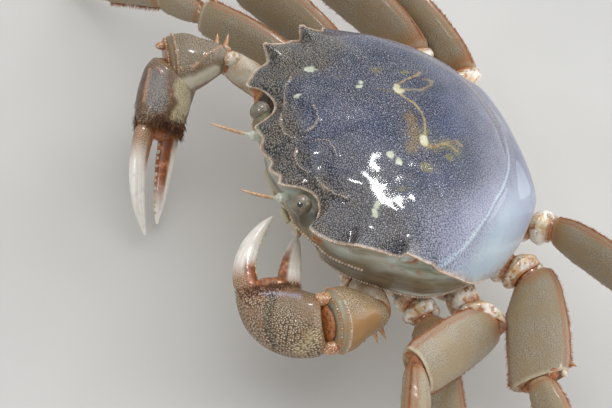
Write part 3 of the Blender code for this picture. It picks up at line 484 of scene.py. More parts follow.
# How the dome falls: a round front, and flanks that stay high, then drop at the edge
ROUND_SIDE, ROUND_FRONT, ROUND_REAR = 2.2, 3.4, 2.5
EVEN_SIDE, EVEN_END, STEEP_SIDE, STEEP_END = 0.4, 0.45, 12.0, 8.0
FULL_FROM, FULL_TO = -10.0, 6.0


def closed_curve(points, sub):
    a, b, c, d = (np.roll(points, k, 0) for k in (1, 0, -1, -2))
    out = [spline(a, b, c, d, i / sub) for i in range(sub)]
    return np.stack(out, 1).reshape(-1, points.shape[1])


def relaxed(ring, reach):
    """Ring smoothed around by a bell of that many points."""
    count = len(ring)
    k = np.arange(count)
    share = np.exp(-0.5 * (np.minimum(k, count - k) / reach) ** 2)
    share /= share.sum()
    return np.real(np.fft.ifft(np.fft.fft(ring, axis=0) * np.fft.fft(share)[:, None], axis=0))


def turned(x, y, cx, cy, across, along, turn):
    """Place in plan in an oval's own measures."""
    a = math.radians(turn)
    dx, dy = x - cx, y - cy
    return ((dx * math.cos(a) + dy * math.sin(a)) / across,
            (dy * math.cos(a) - dx * math.sin(a)) / along)


def relief(x, y):
    total = 0.0
    for *oval, height in RELIEF:
        u, v = turned(np.abs(x), y, *oval)
        total = total + height * np.exp(-u * u - v * v)
    return total


def line_distance(x, y, points):
    """Distance in plan from each point to a line of points."""
    best = np.full(np.shape(x), 1e9)
    for (ax, ay), (bx, by) in zip(points, points[1:]):
        dx, dy = bx - ax, by - ay
        t = np.clip(((x - ax) * dx + (y - ay) * dy) / (dx * dx + dy * dy), 0.0, 1.0)
        best = np.minimum(best, np.hypot(x - ax - t * dx, y - ay - t * dy))
    return best


def near(p, points, inner, outer):
    """1 at a line of points in space, fading to 0 at the outer distance."""
    best = np.full(len(p), 1e9)
    points = np.atleast_2d(np.array(points, float))
    for a, b in zip(points, points[1:] if len(points) > 1 else points):
        d = b - a
        t = np.clip(((p - a) @ d) / max(d @ d, 1e-9), 0.0, 1.0)
        best = np.minimum(best, np.linalg.norm(p - a - t[:, None] * d, axis=1))
    return 1.0 - step(inner, outer, best + 0.25 * wander(p, 0.8))


def press(verts, grid, amount):
    """Move a loft's skin in or out from its own middle line."""
    sides = len(grid["angle"])
    body = verts[:-2].reshape(-1, sides, 3)
    out = unit(body - body.mean(1)[:, None, :]).reshape(-1, 3)
    verts = verts.copy()
    verts[:-2] += out * amount[:-2, None]
    return verts


# Fine ridges of the shell's front, on each side
RIDGES = (
    (((1.2, -21.3), (2.7, -22.2), (4.3, -22.3), (5.9, -22.1), (7.4, -21.2)), 0.42, 0.5),
    (((8.7, -20.2), (9.8, -19.8), (11.8, -19.1), (13.8, -18.3), (15.3, -16.6)), 0.42, 0.55),
    (((1.2, -19.2), (1.6, -17.3), (2.6, -16.2), (4.4, -15.8), (6.4, -15.7)), 0.5, 0.3),
)
# Share of the way out where the steep flank begins, along the body
CREASE = np.array([(-5.0, 1.03), (-2.3, 0.99), (0.0, 0.955), (3.3, 0.92), (8.0, 0.865),
                   (14.0, 0.8), (19.0, 0.785), (28.0, 0.79)])


def shell_rings():
    """The dome, the walls and the underside, from the middle of the top inwards below."""
    half = np.column_stack([RIM, [LIDS.get(i, 0.0) for i in range(len(RIM))]])
    whole = np.vstack([half, half[-2:0:-1] * vec(-1, 1, 1, 1)])
    ring = closed_curve(whole, SUB)
    rim, lids = ring[:, :3], np.maximum(ring[:, 3], 0.0)
    smooth = relaxed(rim, 3.6 * SUB / 2)
    along = np.roll(smooth, -1, 0) - np.roll(smooth, 1, 0)
    out = unit(np.stack([along[:, 1], -along[:, 0], 0 * along[:, 0]], 1))
    rings, places = [], []
    for s in SHARES:
        edge = smooth + (rim - smooth) * step(0.86, 1.0, s)
        direction = unit((edge - CENTRE) * vec(1, 1, 0))
        facing = -direction[:, 1]
        end = np.where(facing > 0, ROUND_FRONT, ROUND_REAR)
        rounded = s ** (ROUND_SIDE + (end - ROUND_SIDE) * facing ** 2)
        even = EVEN_SIDE + (EVEN_END - EVEN_SIDE) * facing ** 2
        steep = STEEP_SIDE + (STEEP_END - STEEP_SIDE) * facing ** 2
        full = even * s ** 2 + (1.0 - even) * s ** steep
        fall = rounded + (full - rounded) * step(FULL_FROM, FULL_TO, edge[:, 1])
        p = CENTRE + (edge - CENTRE) * s
        p[:, 2] = TOP - (TOP - edge[:, 2]) * fall
        fade = 1.0 - step(0.85, 1.0, s)
        p[:, 2] += relief(p[:, 0], p[:, 1]) * fade
        for line, reach, height in RIDGES:
            far = line_distance(np.abs(p[:, 0]), p[:, 1], line)
            p[:, 2] += height * bell(far, reach) * min(1.0, fade + 0.3)
        crease = np.interp(p[:, 1] / max(s, 0.5) * 0.86, CREASE[:, 0], CREASE[:, 1])
        p[:, 2] += 0.25 * bell(s - crease, 0.012) * step(-4.0, 0.0, p[:, 1])
        p[:, 2] += 0.07 * wander(p, 3.0) * fade
        rings.append(p)
        places.append(np.full(len(p), s))
    inset = np.interp(smooth[:, 1], LOWER_EDGE[:, 0], LOWER_EDGE[:, 1])
    level = np.interp(smooth[:, 1], LOWER_EDGE[:, 0], LOWER_EDGE[:, 2])
    eyes = np.minimum(1.0, lids)[:, None]
    side = smooth * (1.0 - eyes) + rim * eyes
    foot = smooth - out * inset[:, None]
    foot[:, 2] = level
    drop = side[:, 2] - level
    under = rim - out * 0.45
    under[:, 2] -= np.minimum(0.9, drop * 0.3)
    wall = side + (foot - side) * 0.38 + out * 0.1
    wall[:, 2] = side[:, 2] - drop * 0.38
    deep = rim - out * 0.5
    deep[:, 2] = rim[:, 2] - 4.4
    floor = wall + (deep - wall) * eyes
    ridge = side + (foot - side) * 0.62 + out * (0.4 + lids * 0.85)[:, None]
    ridge[:, 2] = side[:, 2] - drop * 0.62
    control = [rings[-2], rim, under, floor, ridge, foot, foot - out * 0.8 + vec(0, 0, 0.5)]
    for i in range(1, 5):
        a, b, c, d = control[i - 1:i + 3]
        if i == 1:
            a = b
        for t in np.linspace(0, 1, 9)[1:]:
            p = spline(a, b, c, d, t)
            rings.append(p + out * (0.05 * wander(p, 1.8))[:, None])
            places.append(np.full(len(p), i + t))
    for s in (0.97, 0.86, 0.6, 0.3, 0.05):
        p = CENTRE + (foot - CENTRE) * s
        p[:, 2] = -10.8 + (foot[:, 2] + 10.8) * s ** 5
        rings.append(p)
        places.append(np.full(len(p), 6.0))
    return np.array(rings), np.array(places), rim, ridge, foot, out


def soft_spot(x, y, *oval):
    return 1.0 - step(0.7, 1.15, np.hypot(*turned(x, y, *oval)))


def shell_masks(p, place):
    """The shell's marks, painted sheen, highlights and shade: of its top, and of its walls and
    underside.
    """
    x, y = p[:, 0], p[:, 1]
    wide, top = np.abs(x), place <= 1.0
    blur = 0.36 * wander(p, 1.1) + 0.24 * wander(p, 0.5)
    xx, yy = x + blur, y + blur
    knots = np.minimum(np.hypot(x - 6.4, y - 2.1), np.hypot(x + 7.0, y - 1.9))
    ragged = 0.12 * wander(p, 0.7) + 0.12 * wander(p, 2.5) - 0.25 * bell(knots, 1.6)
    edges = {"plain": (x, y, 0.0), "ragged": (x, y, ragged), "soft": (xx, yy, 0.0)}
    drift = 4.0 * wander(p, 6.0)
    crease = np.interp(y / np.maximum(place, 0.5) * 0.86, CREASE[:, 0], CREASE[:, 1])
    flank = step(-0.02, 0.13, place - crease) * step(-4.0, 2.0, y)
    side = step(0.55, 0.85, place) * step(-9.0, 3.0, y)
    masks = {}

    def lay(mask, share):
        masks[mask] = np.maximum(masks.get(mask, 0.0), share)

    for mask, line, low, high, strength, edge in MARK:
        u, v, wave = edges[edge]
        lay(mask, strength * (1.0 - step(low, high, line_distance(u, v, line) + wave)))
    for mask, spots in SPOTS.items():
        for *spot, strength in spots:
            lay(mask, strength * soft_spot(xx, yy, *spot))
    for cx, cy, rx, ry in NAVY:
        far = np.hypot((xx - cx) / rx, (yy - cy + 0.3 * drift) / ry)
        lay("navy", 1.0 - step(0.2, 1.0, far))
    for line, _, _ in RIDGES:
        # Painted highlight along the tops of the fine ridges.
        lay("crest_highlight", bell(line_distance(wide, y, line), 0.2) * step(-0.3, 0.6, wander(p, 0.9)))
    lay("olive", step(-15.5, -21.5, y + drift))
    lay("olive", step(-11.0, -18.5, x + drift) * step(3.0, -6.0, y + drift))
    lay("olive", 0.6 * step(9.0, 14.0, x) * step(-2.0, -10.0, y + drift))
    lay("lilac", 0.55 * step(8.0, 19.0, y + 2.5 * wander(p, 5.0)))
    lay("lilac", 0.85 * side)
    # Painted sheen: the left side is lightened where the sky's reflection falls.
    lay("painted_sheen", side * step(8.0, 20.0, x))
    # Painted sheen: a lighter warm band just inside the crease on the far side, towards the rear.
    lay("far_rim_sheen", bell(place - crease + 0.05, 0.05) * step(4.0, 12.0, y) * step(14.0, -2.0, x))
    lay("fleck", step(-20.0, -10.0, y) * step(14.0, 2.0, y))
    # The pale flank: a faint tint on both sides and painted reflection on the left; then a painted
    # highlight along the left crease.
    lay("pale_flank_and_sheen", flank * (0.12 + 0.7 * step(9.0, 20.0, x)) * (1.0 - 0.6 * step(8.0, 24.0, y)))
    lay("pale_flank_and_sheen", 0.7 * bell(place - crease, 0.01) * step(-4.0, 0.0, y) * step(0.0, 12.0, x))
    lay("grain", (1.0 - 0.55 * step(-6.0, 20.0, y)) * (1.0 - 0.85 * flank)
        * (1.0 - 0.35 * masks["painted_sheen"]) * (1.0 - 0.5 * masks["pale"]))
    masks = {key: value * top for key, value in masks.items()}
    orbit = np.hypot((wide - 14.0) / 2.6, (y + 21.2) / 1.7)
    ends = np.hypot((wide - 17.6) / 1.7, (y + 22.0) / 1.9)
    for mask, share in (
            ("stain", step(1.2, 1.8, place) * step(3.6, 2.2, place)
             * (0.25 + 0.75 * soft_spot(wide, y, 28.0, -7.0, 3.0, 4.5, 0.0))),
            ("line", bell(place - 4.75, 0.16) * step(-10.0, -4.0, y)),
            ("wall", step(1.0, 1.6, place)),
            ("low", step(2.7, 3.9, place + 0.5 * wander(p, 3.0))),
            # Painted shade in the eye socket's recess.
            ("socket_shade", step(1.3, 0.95, orbit) * step(1.3, 2.0, place) * step(3.4, 2.8, place)),
            ("flesh", step(1.1, 0.7, ends + 0.3 * wander(p, 0.9)) * step(1.2, 2.0, place)
             * step(4.2, 3.2, place))):
        masks[mask] = share * ~top
    masks["rim"] = np.where(top, step(0.982, 0.996, place) * (1 - 0.5 * step(0.0, 10.0, y)),
                            step(1.35, 1.05, place))
    return masks


# Lines of the mark in the middle of the shell: mask, points, fade, strength and edge
MARK = (
    ("gold", ((-10.2, 7.3), (-9.5, 5.0), (-8.3, 2.6), (-7.2, 1.6), (-5.6, 1.5), (-4.1, 2.4),
              (-2.7, 3.5), (-0.1, 4.1), (2.4, 3.8), (4.7, 2.9), (6.2, 2.1), (7.4, 2.3), (8.0, 3.7),
              (7.4, 6.0), (8.1, 7.3), (9.6, 8.1)), 0.0, 0.34, 1.0, "ragged"),
    ("gold", ((-6.5, 2.0), (-6.6, 4.4), (-6.2, 6.7), (-7.2, 9.1), (-8.5, 10.2), (-9.2, 8.7)),
     0.0, 0.7, 0.6, "ragged"),
    ("gold", ((-10.2, 7.3), (-11.3, 8.7)), 0.0, 0.7, 0.6, "ragged"),
    ("gold", ((7.4, 6.0), (7.1, 8.8), (8.1, 9.5)), 0.0, 0.7, 0.6, "ragged"),
    ("cream", ((5.9, 2.1), (6.8, 2.0)), 0.3, 0.85, 1.0, "ragged"),
    ("cream", ((-7.9, 2.2), (-6.9, 1.4), (-6.0, 1.6), (-6.4, 2.6)), 0.2, 0.7, 0.85, "ragged"),
    ("tan", ((0.6, 1.3), (3.6, 0.7), (6.2, 0.1), (7.8, -1.2)), 0.4, 2.1, 1.0, "soft"),
    ("tan", ((-5.6, 1.0), (-6.5, -0.4), (-7.2, -2.6)), 0.1, 0.7, 0.6, "soft"),
    ("shade", ((-3.4, 0.7), (-1.0, 2.4), (1.4, 3.0)), 0.1, 0.8, 1.0, "plain"),
    ("halo", ((4.7, 2.9), (6.2, 2.1), (7.4, 2.3), (8.0, 3.7), (7.4, 6.0), (8.1, 7.3), (9.6, 8.1)),
     0.3, 2.0, 0.6, "soft"),
)
# Spots of the shell: place, half width and half length, turn, strength
SPOTS = {
    "pale": ((-16.1, -12.6, 0.75, 1.15, 10.0, 1.0), (-9.7, -5.0, 0.7, 0.8, 0.0, 1.0),
             (-8.3, -5.8, 0.8, 0.7, 0.0, 1.0), (8.9, -6.0, 0.8, 0.75, 0.0, 1.0),
             (10.4, -4.8, 0.8, 0.8, 0.0, 1.0), (18.2, -11.6, 0.9, 0.8, 0.0, 1.0),
             # The last spot, on the right front tubercle, is a painted highlight; the others are
             # pale marks.
             (19.5, -12.5, 0.8, 0.7, 0.0, 1.0), (-9.9, -17.4, 0.4, 0.6, 0.0, 1.0)),
    "halo": ((-11.1, 5.3, 0.5, 1.3, 0.0, 0.8), (-12.6, -0.2, 1.0, 1.3, 0.0, 0.7),
             (10.8, 5.7, 1.0, 0.9, 0.0, 0.8), (12.4, 0.2, 1.3, 1.2, 0.0, 0.9),
             (16.0, -6.2, 0.5, 1.0, 0.0, 0.7), (13.7, -10.6, 0.5, 0.9, 40.0, 0.6),
             (-12.0, -8.5, 0.6, 1.2, 0.0, 0.35)),
}
# Deep blue clouds: centre and reach
NAVY = (
    (-3.8, -13.5, 4.5, 5.5), (0.6, -14.0, 3.0, 4.0), (-1.5, -7.5, 5.0, 4.5),
    (3.6, -8.0, 5.0, 4.5), (3.0, 9.0, 5.5, 5.0), (-3.0, 10.5, 4.0, 4.5),
    (16.0, 2.0, 5.0, 5.0))


def small_ball(centre, radius, squash=1.0, bands=5, sides=8):
    angles = np.linspace(0, math.pi, bands + 2)[1:-1]
    rise = vec(0, 0, radius * squash)
    wide = np.sin(angles) * radius
    rings = tube(centre + np.cos(angles)[:, None] * rise, vec(1, 0, 0), vec(0, 1, 0), wide, wide,
                 sides)
    return skin_rings(rings, centre + rise, centre - rise)


# Beads: spacing, size and how far out, on the rim, the lower ridge and the foot
BEADS = ((0.4, 0.19, 0.05), (0.62, 0.3, 0.08), (0.56, 0.27, 0.12))
CREST_SPACING = 0.42


def along_ring(ring, pick, spacing):
    """Points spaced evenly on the picked part of a closed ring, with their index."""
    out = []
    left = 0.0
    for i in range(len(ring)):
        j = (i + 1) % len(ring)
        if not (pick[i] and pick[j]):
            left = 0.0
            continue
        length = np.linalg.norm(ring[j] - ring[i])
        while left < length:
            out.append((ring[i] + (ring[j] - ring[i]) * left / length, i))
            left += spacing
        left -= length
    return out


def make_shell(material, beads):
    rings, places, rim, ridge, foot, out = shell_rings()
    verts, faces = skin_rings(rings)
    place = np.concatenate([places.ravel(), [0.0, 6.0]])
    around = np.cumsum(np.linalg.norm(np.roll(rim, 1, 0) - rim, axis=1))
    around = np.append(np.tile(around, len(rings)), [0.0, 0.0])
    skin = np.where((place <= 1.0)[:, None], verts[:, :2],
                    np.column_stack([around, verts[:, 2] + 100.0]))
    add_piece("carapace_skin", verts, faces, material, ("carapace",),
              shell_masks(verts, place), skin)
    heap = Heap()
    wide, y = np.abs(rim[:, 0]), rim[:, 1]
    rows = ((rim, y < 12.0), (ridge, (y < -15.0) & (wide > 6.5)),
            (foot, (y < 16.0) & (wide > 8.5)))
    for (ring, pick), (spacing, size, proud) in zip(rows, BEADS):
        for point, i in along_ring(ring, pick, spacing):
            grow = 0.75 + 0.5 * DICE.random()
            heap.add(*small_ball(point + out[i] * proud, size * grow, 0.9, 4, 6))
    near_top = rings[:len(SHARES)].reshape(-1, 3)
    for line, _, _ in RIDGES:
        for (ax, ay), (bx, by) in zip(line, line[1:]):
            count = max(1, int(math.hypot(bx - ax, by - ay) / CREST_SPACING))
            for side in (-1.0, 1.0):
                for t in (np.arange(count) + 0.5) / count:
                    x, y = side * (ax + (bx - ax) * t), ay + (by - ay) * t
                    k = np.argmin(np.hypot(near_top[:, 0] - x, near_top[:, 1] - y))
                    size = 0.11 + 0.06 * DICE.random()
                    heap.add(*small_ball(near_top[k] + vec(0, 0, 0.02), size, 0.8, 3, 6))
    add_piece("carapace_beads", heap.array(), heap.faces, beads)
    return foot


# Limbs

# Half of the gap between two solids
HALF_GAP = 0.15
# Each joint's place along, and its share of the width and of the depth there
FORMS = {
    "merus": ((0.0, 0.5, 0.7), (0.05, 0.66, 0.9), (0.3, 0.93, 1.0), (0.65, 1.0, 1.0),
              (0.93, 0.97, 0.92), (1.0, 0.86, 0.8)),
    "arm": ((0.0, 0.7, 0.7), (0.1, 0.92, 0.92), (0.6, 1.0, 1.0), (0.9, 0.9, 0.9),
            (1.0, 0.74, 0.74)),
    "carpus": ((0.0, 0.62, 0.72), (0.12, 0.8, 0.9), (0.55, 1.0, 1.0), (0.9, 0.98, 0.95),
               (1.0, 0.84, 0.84)),
    "wrist": ((0.0, 0.4, 0.5), (0.1, 0.54, 0.66), (0.35, 0.76, 0.86), (0.7, 1.0, 1.0),
              (0.93, 1.0, 0.92), (1.0, 0.88, 0.76)),
    "shank": ((0.0, 0.78, 0.8), (0.1, 0.94, 0.95), (0.4, 1.0, 1.0), (0.92, 0.78, 0.85),
              (1.0, 0.66, 0.74)),
    "toe": ((0.0, 0.84, 0.84), (0.12, 1.0, 1.0), (0.5, 0.72, 0.76), (0.85, 0.44, 0.5),
            (1.0, 0.34, 0.4)),
    "base": ((0.0, 0.76, 0.76), (0.15, 0.94, 0.94), (0.6, 0.9, 0.9), (0.88, 1.0, 1.0),
             (1.0, 0.84, 0.84)),
    "palm": ((0.0, 0.74, 0.62), (0.06, 0.92, 0.84), (0.3, 1.0, 1.0), (0.6, 1.0, 1.0),
             (0.88, 0.97, 0.82), (1.0, 0.9, 0.62)),
    "finger": ((0.0, 0.9, 0.88), (0.08, 1.0, 1.0), (0.35, 0.88, 0.9), (0.62, 0.72, 0.74),
               (0.86, 0.44, 0.46), (1.0, 0.12, 0.14)),
    "jaw": ((0.0, 0.8, 0.7), (0.08, 0.96, 1.0), (0.45, 1.0, 1.0), (0.8, 0.8, 1.0),
            (1.0, 0.5, 0.7)),
}


def straight(a, b, bow=vec(0, 0, 0)):
    return lambda t: a + (b - a) * t[:, None] + bow * np.sin(math.pi * t)[:, None]


def bent(a, b, c):
    return lambda t: (a * ((1 - t) ** 2)[:, None] + b * (2 * t * (1 - t))[:, None]
                      + c * (t ** 2)[:, None])


def loft(path, face, form, width, depth, first_plane=None, last_plane=None, keel=0.22,
         rings=44, sides=40, rough=0.06, cup=True, shape=None, plate=False, toward=None):
    """Finely ringed limb joint with rounded ends, and its masks."""
    t = 0.5 - 0.5 * np.cos(np.linspace(0.0, math.pi, rings))
    t = 0.4 * t + 0.6 * np.linspace(0, 1, rings)
    table = np.array(FORMS[form])
    wide = pchip(table[:, 0], table[:, 1], t) * width * 0.5
    deep = pchip(table[:, 0], table[:, 2], t) * depth * 0.5
    centre = path(t)
    axis = unit(path(np.minimum(1, t + 0.01)) - path(np.maximum(0, t - 0.01)))
    through = unit(face - axis * (axis @ face)[:, None])
    across = unit(np.cross(axis, through))
    angle = np.linspace(0, 2 * math.pi, sides, endpoint=False)
    c, s = np.cos(angle), np.sin(angle)
    if plate:
        flat = 0.82 * (1.0 - np.abs(c) ** 3.2) ** 0.85 + 0.18 * np.abs(s)
        s = np.sign(s) * (flat + 0.09 * bell(np.abs(c) - 0.84, 0.06))
    else:
        s = s * np.abs(s) ** keel
    grow = np.ones((rings, sides)) if shape is None else shape(t[:, None], angle[None, :])
    offset = (across[:, None, :] * (wide[:, None] * c * grow)[..., None]
              + through[:, None, :] * (deep[:, None] * s * grow)[..., None])
    length = np.linalg.norm(path(np.array([1.0])) - path(np.array([0.0])))
    shift = np.zeros((rings, sides))
    for plane, blend in ((first_plane, 1 - step(0, 0.4, t)), (last_plane, step(0.6, 1, t))):
        if plane is not None:
            lean = (offset @ plane) / np.maximum(0.35, axis @ plane)[:, None]
            shift -= lean * blend[:, None]
    shift = np.clip(shift, -0.3 * length, 0.3 * length)
    body = centre[:, None, :] + offset + axis[:, None, :] * shift[..., None]
    body = body + unit(offset) * (rough * wander(body, 1.6))[..., None]
    body = body + unit(offset) * (0.5 * rough * wander(body, 0.6))[..., None]
    low, high = [], []
    for scale, slide in ((0.97, 0.10), (0.88, 0.16), (0.66, 0.1), (0.35, -0.05)):
        mid = body[0].mean(0)
        low.insert(0, mid + (body[0] - mid) * scale - axis[0] * slide)
        mid = body[-1].mean(0)
        slide = slide if not cup else (slide if scale > 0.9 else -0.35)
        high.append(mid + (body[-1] - mid) * scale + axis[-1] * slide)
    all_rings = np.concatenate([np.array(low), body, np.array(high)])
    place = np.concatenate([np.zeros(4), t, np.ones(4)])
    verts, faces = skin_rings(all_rings)

    def along(values, first, last):
        return np.append(np.repeat(values, sides), [first, last])

    def capped(table, first, last):
        return np.append(np.vstack([table[:1]] * 4 + [table] + [table[-1:]] * 4), [first, last])

    side = np.tile(np.abs(np.cos(angle)), (rings, 1))
    masks = {
        "edge": capped(step(0.93, 0.995, side), 0, 0),
        "rim": along(np.maximum(step(0.965, 0.985, place), step(0.06, 0.02, place) * 0.6), 1, 1),
        "hip": along(step(0.2, 0.02, place), 1, 0),
        "line": capped(bell(side - 0.88, 0.03) * plate, 0, 0),
        "cap": along(np.arange(len(place)) > len(place) - 4, 0, 1),
    }
    if shape is not None:
        masks["fold"] = capped(step(0.99, 0.86, grow), 1, 1)
    if toward is not None:
        masks["inner"] = capped(step(-0.15, 0.35, unit(offset) @ unit(toward)), 0, 0)
        masks["root"] = along(step(0.42, 0.1, place), 1, 0)
        masks["tip"] = along(step(0.55, 0.95, place), 0, 1)
    girth = math.pi * 0.5 * (width + depth)
    skin = np.stack([np.repeat(place * length, sides),
                     np.tile(angle / (2 * math.pi) * girth, len(place))], 1)
    grid = {"body": body, "t": t, "angle": angle, "across": across, "through": through,
            "axis": axis, "wide": wide, "centre": centre, "place": along(place, 0.0, 1.0),
            "skin": np.vstack([skin, skin[:1], skin[-1:]])}
    return verts, faces, masks, grid


def collars(t, angle):
    """The lumpy rings of a limb's short base joints."""
    lumps = 0.07 * np.sin(3.0 * angle + 1.0) + 0.04 * np.sin(5.0 * angle + 9.0 * t)
    out = 1.0 + lumps
    lean = 0.03 * np.cos(angle + 0.7)
    for place, height, reach in ((0.38, 0.12, 0.07), (0.5, -0.22, 0.03), (0.63, 0.16, 0.06),
                                 (0.77, -0.26, 0.03), (0.9, 0.16, 0.05)):
        out = out + height * bell(t - place - lean, reach)
    return out


# Length, width and depth of merus, carpus, shank and toe, by pair of legs
SEGMENTS = {
    2: ((24.0, 9.0, 4.6), (11.0, 6.4, 4.6), (17.0, 5.0, 3.6), (14.0, 3.0, 2.6)),
    3: ((29.0, 12.2, 5.0), (13.0, 7.4, 5.0), (21.0, 5.8, 3.8), (17.0, 3.2, 2.8)),
    4: ((29.0, 12.8, 5.0), (13.0, 7.6, 5.0), (21.0, 6.0, 3.8), (17.0, 3.2, 2.8)),
    5: ((23.0, 9.6, 4.4), (10.0, 6.6, 4.4), (16.0, 5.8, 3.2), (13.0, 3.0, 2.4)),
}
# Width of the base joints, by pair of legs
BASE_WIDTH = {2: 6.2, 3: 6.8, 4: 7.0, 5: 6.2}
# Root and hip, the merus's facing, rise and heading, the heading past the knee, the rises
# there, the shank's facing and the spiny side
LEGS = {
    "left_2": ((15.5, -3.4, -16.2), (30.4, 0.2, -17.0), (-0.1, -0.6, 0.8), -15.0, -8.0,
               -10.0, (-8.0, -26.0), (0.1, -0.9, 0.4), -1.0),
    "left_3": ((15.5, 4.2, -16.2), (35.6, 10.8, -15.2), (0.62, 0.55, 0.56), 20.0, -61.0,
               -20.0, (-14.0, -38.0), (0.5, 0.75, 0.4), -1.0),
    "left_4": ((14.0, 11.2, -16.0), (26.2, 24.0, -14.4), (-0.36, -0.55, 0.75), 9.0, -23.5,
               2.0, (-14.0, -36.0), (-0.1, -0.9, 0.4), -1.0),
    "left_5": ((9.0, 15.6, -15.6), (17.2, 32.2, -11.8), (0.3, -0.95, 0.1), 17.0, 18.0,
               34.0, (-28.0, -62.0), (0.4, -0.85, 0.3), -1.0),
    "right_2": ((-15.5, -3.4, -16.2), (-33.2, -2.4, -15.4), (0.57, -0.8, 0.2), 1.0, -137.0,
                -150.0, (-18.0, -36.0), (0.5, -0.85, 0.1), 1.0),
    "right_3": ((-15.5, 4.2, -16.2), (-32.6, 7.2, -15.0), (0.57, -0.8, 0.15), 9.0, -145.0,
                -162.0, (-14.0, -38.0), (0.3, -0.95, 0.1), 1.0),
    "right_4": ((-14.0, 11.2, -16.0), (-33.0, 23.1, -13.6), (0.57, -0.8, 0.15), 10.0,
                -146.0, -174.0, (-16.0, -40.0), (0.1, -1.0, 0.1), 1.0),
    "right_5": ((-9.0, 15.6, -15.6), (-26.8, 32.3, -14.0), (0.5, -0.82, 0.2), 15.0, -152.0,
                168.0, (-28.0, -60.0), (-0.2, -0.95, 0.2), 1.0),
}


def heading_vector(heading, rise):
    a, b = math.radians(heading), math.radians(rise)
    return vec(math.cos(a) * math.cos(b), math.sin(a) * math.cos(b), math.sin(b))


def joint_planes(joints):
    axes = [unit(b - a) for a, b in zip(joints, joints[1:])]
    return [None] + [unit(a + b) for a, b in zip(axes, axes[1:])]


def joint(name, start, end, face, form, size, material, slot, first, last,
          end_gap=HALF_GAP, **more):
    axis = unit(end - start)
    a = start if first is None else start + axis * (HALF_GAP / (axis @ first))
    b = end - axis * (end_gap / (axis @ last))
    bow = vec(0, 0, size[0] * (0.0 if form == "base" else 0.03))
    keel = more.pop("keel", 0.0 if form == "base" else 0.22)
    if form == "base":
        more["shape"] = collars
    if form in ("merus", "carpus", "shank"):
        more["plate"] = True
    verts, faces, masks, grid = loft(straight(a, b, bow), face, form, size[1], size[2],
                                     first, last, keel, **more)
    add_piece(name + "_skin", verts, faces, material, (name,), masks, grid["skin"])
    return grid


def thorn(heap, start, end, face, form, size, place, side, lean, length, width):
    """A curved spine on a joint's narrow side."""
    axis = unit(end - start)
    through = unit(face - axis * (axis @ face))
    across = np.cross(axis, through)
    table = np.array(FORMS[form])
    half = size[1] * 0.5 * np.interp(place, table[:, 0], table[:, 1])
    foot = start + (end - start) * place + across * side * (half - 0.9)
    way = unit(across * side + axis * lean)
    other = unit(np.cross(way, through))
    t = np.linspace(0, 0.97, 12)
    fat = width * 0.5 * (1.0 - t) ** 0.75 * np.where(t < 0.1, 1.25, 1.0)
    t = t[:, None]
    mid = foot + way * t * (length + 0.9) + axis * 0.35 * t * t
    heap.add(*skin_rings(tube(mid, through, other, fat, fat, 12)))


def knob(heap, centre, axis, out, size):
    """A pale hinge knob, longer along the limb."""
    verts, faces = small_ball(vec(0, 0, 0), 1.0, 1.0, 7, 12)
    other = np.cross(axis, out)
    frame_axes = np.array([axis * 1.25, out * 0.8, other])
    body = verts @ frame_axes * size
    body = body + unit(body) * (0.12 * size * wander(body + centre, size))[:, None]
    heap.add(body + centre, faces)


def knob_pair(heap, centre, axis, out, reach, size):
    for way in (-1, 1):
        knob(heap, centre + out * way * reach, axis, out * way, size)


def make_leg(name, leg, looks, hairs, skins, thorns, knobs):
    root, hip, face, rise, heading, shank, rises, shank_face, side = leg
    root, hip, face, shank_face = map(np.array, (root, hip, face, shank_face))
    sizes = SEGMENTS[int(name[-1])]
    knee = hip + heading_vector(heading, rise) * sizes[0][0]
    wrist = knee + heading_vector(shank, rises[0]) * sizes[1][0]
    ankle = wrist + heading_vector(shank, rises[1]) * sizes[2][0]
    fall = -math.degrees(math.asin(min(0.97, (ankle[2] - FLOOR) / sizes[3][0])))
    toe = ankle + heading_vector(shank, fall) * sizes[3][0]
    toe[2] = FLOOR
    joints = [root, hip, knee, wrist, ankle, toe]
    planes = joint_planes(joints) + [vec(0, 0, -1)]
    wide = BASE_WIDTH[int(name[-1])]
    node = "leg_" + name
    joint(node + "_base", root, hip, face, "base", (1.0, wide, wide), looks["base"], "limb",
          None, planes[1])
    parts = (("merus", face), ("carpus", face * 0.4 + shank_face * 0.6),
             ("shank", shank_face), ("toe", shank_face))
    for i, (part, facing) in enumerate(parts):
        grid = joint(node + "_" + part, joints[i + 1], joints[i + 2], facing, part, sizes[i],
                     looks["toe" if part == "toe" else "limb"], "limb", planes[i + 1],
                     planes[i + 2], 0.0 if part == "toe" else 0.15, cup=part != "toe")
        hairs.append((grid, part))
        if part == "merus":
            thorn(thorns, joints[1], joints[2], facing, part, sizes[i], 0.9, side, 0.9, 1.8, 1.3)
            axis, spot = grid["axis"][0], joints[1] + grid["through"][0] * 0.8
            knob_pair(knobs, spot - axis * 0.8, axis, grid["across"][0], 2.3, 1.1)
        if part != "toe":
            axis = grid["axis"][-1]
            knob_pair(knobs, joints[i + 2] - axis * 0.7, axis, grid["across"][-1],
                      grid["wide"][-1] * 0.86, 0.85 if part == "merus" else 0.6)
        wide, deep = (0.5 * sizes[i][k] * FORMS[part][0][k] for k in (1, 2))
        if i > 0:
            last = [sizes[i - 1][k] * FORMS[parts[i - 1][0]][-1][k] for k in (1, 2)]
        else:
            last = (2.7 / 0.43, 2.6 / 0.42)
        wide, deep = max(wide, last[0] * 0.43), max(deep, last[1] * 0.42)
        back = joints[i + 1] - unit(joints[i + 1] - joints[i]) * 0.5
        skins.append((back, wide, deep, unit(joints[i + 2] - joints[i]), facing))


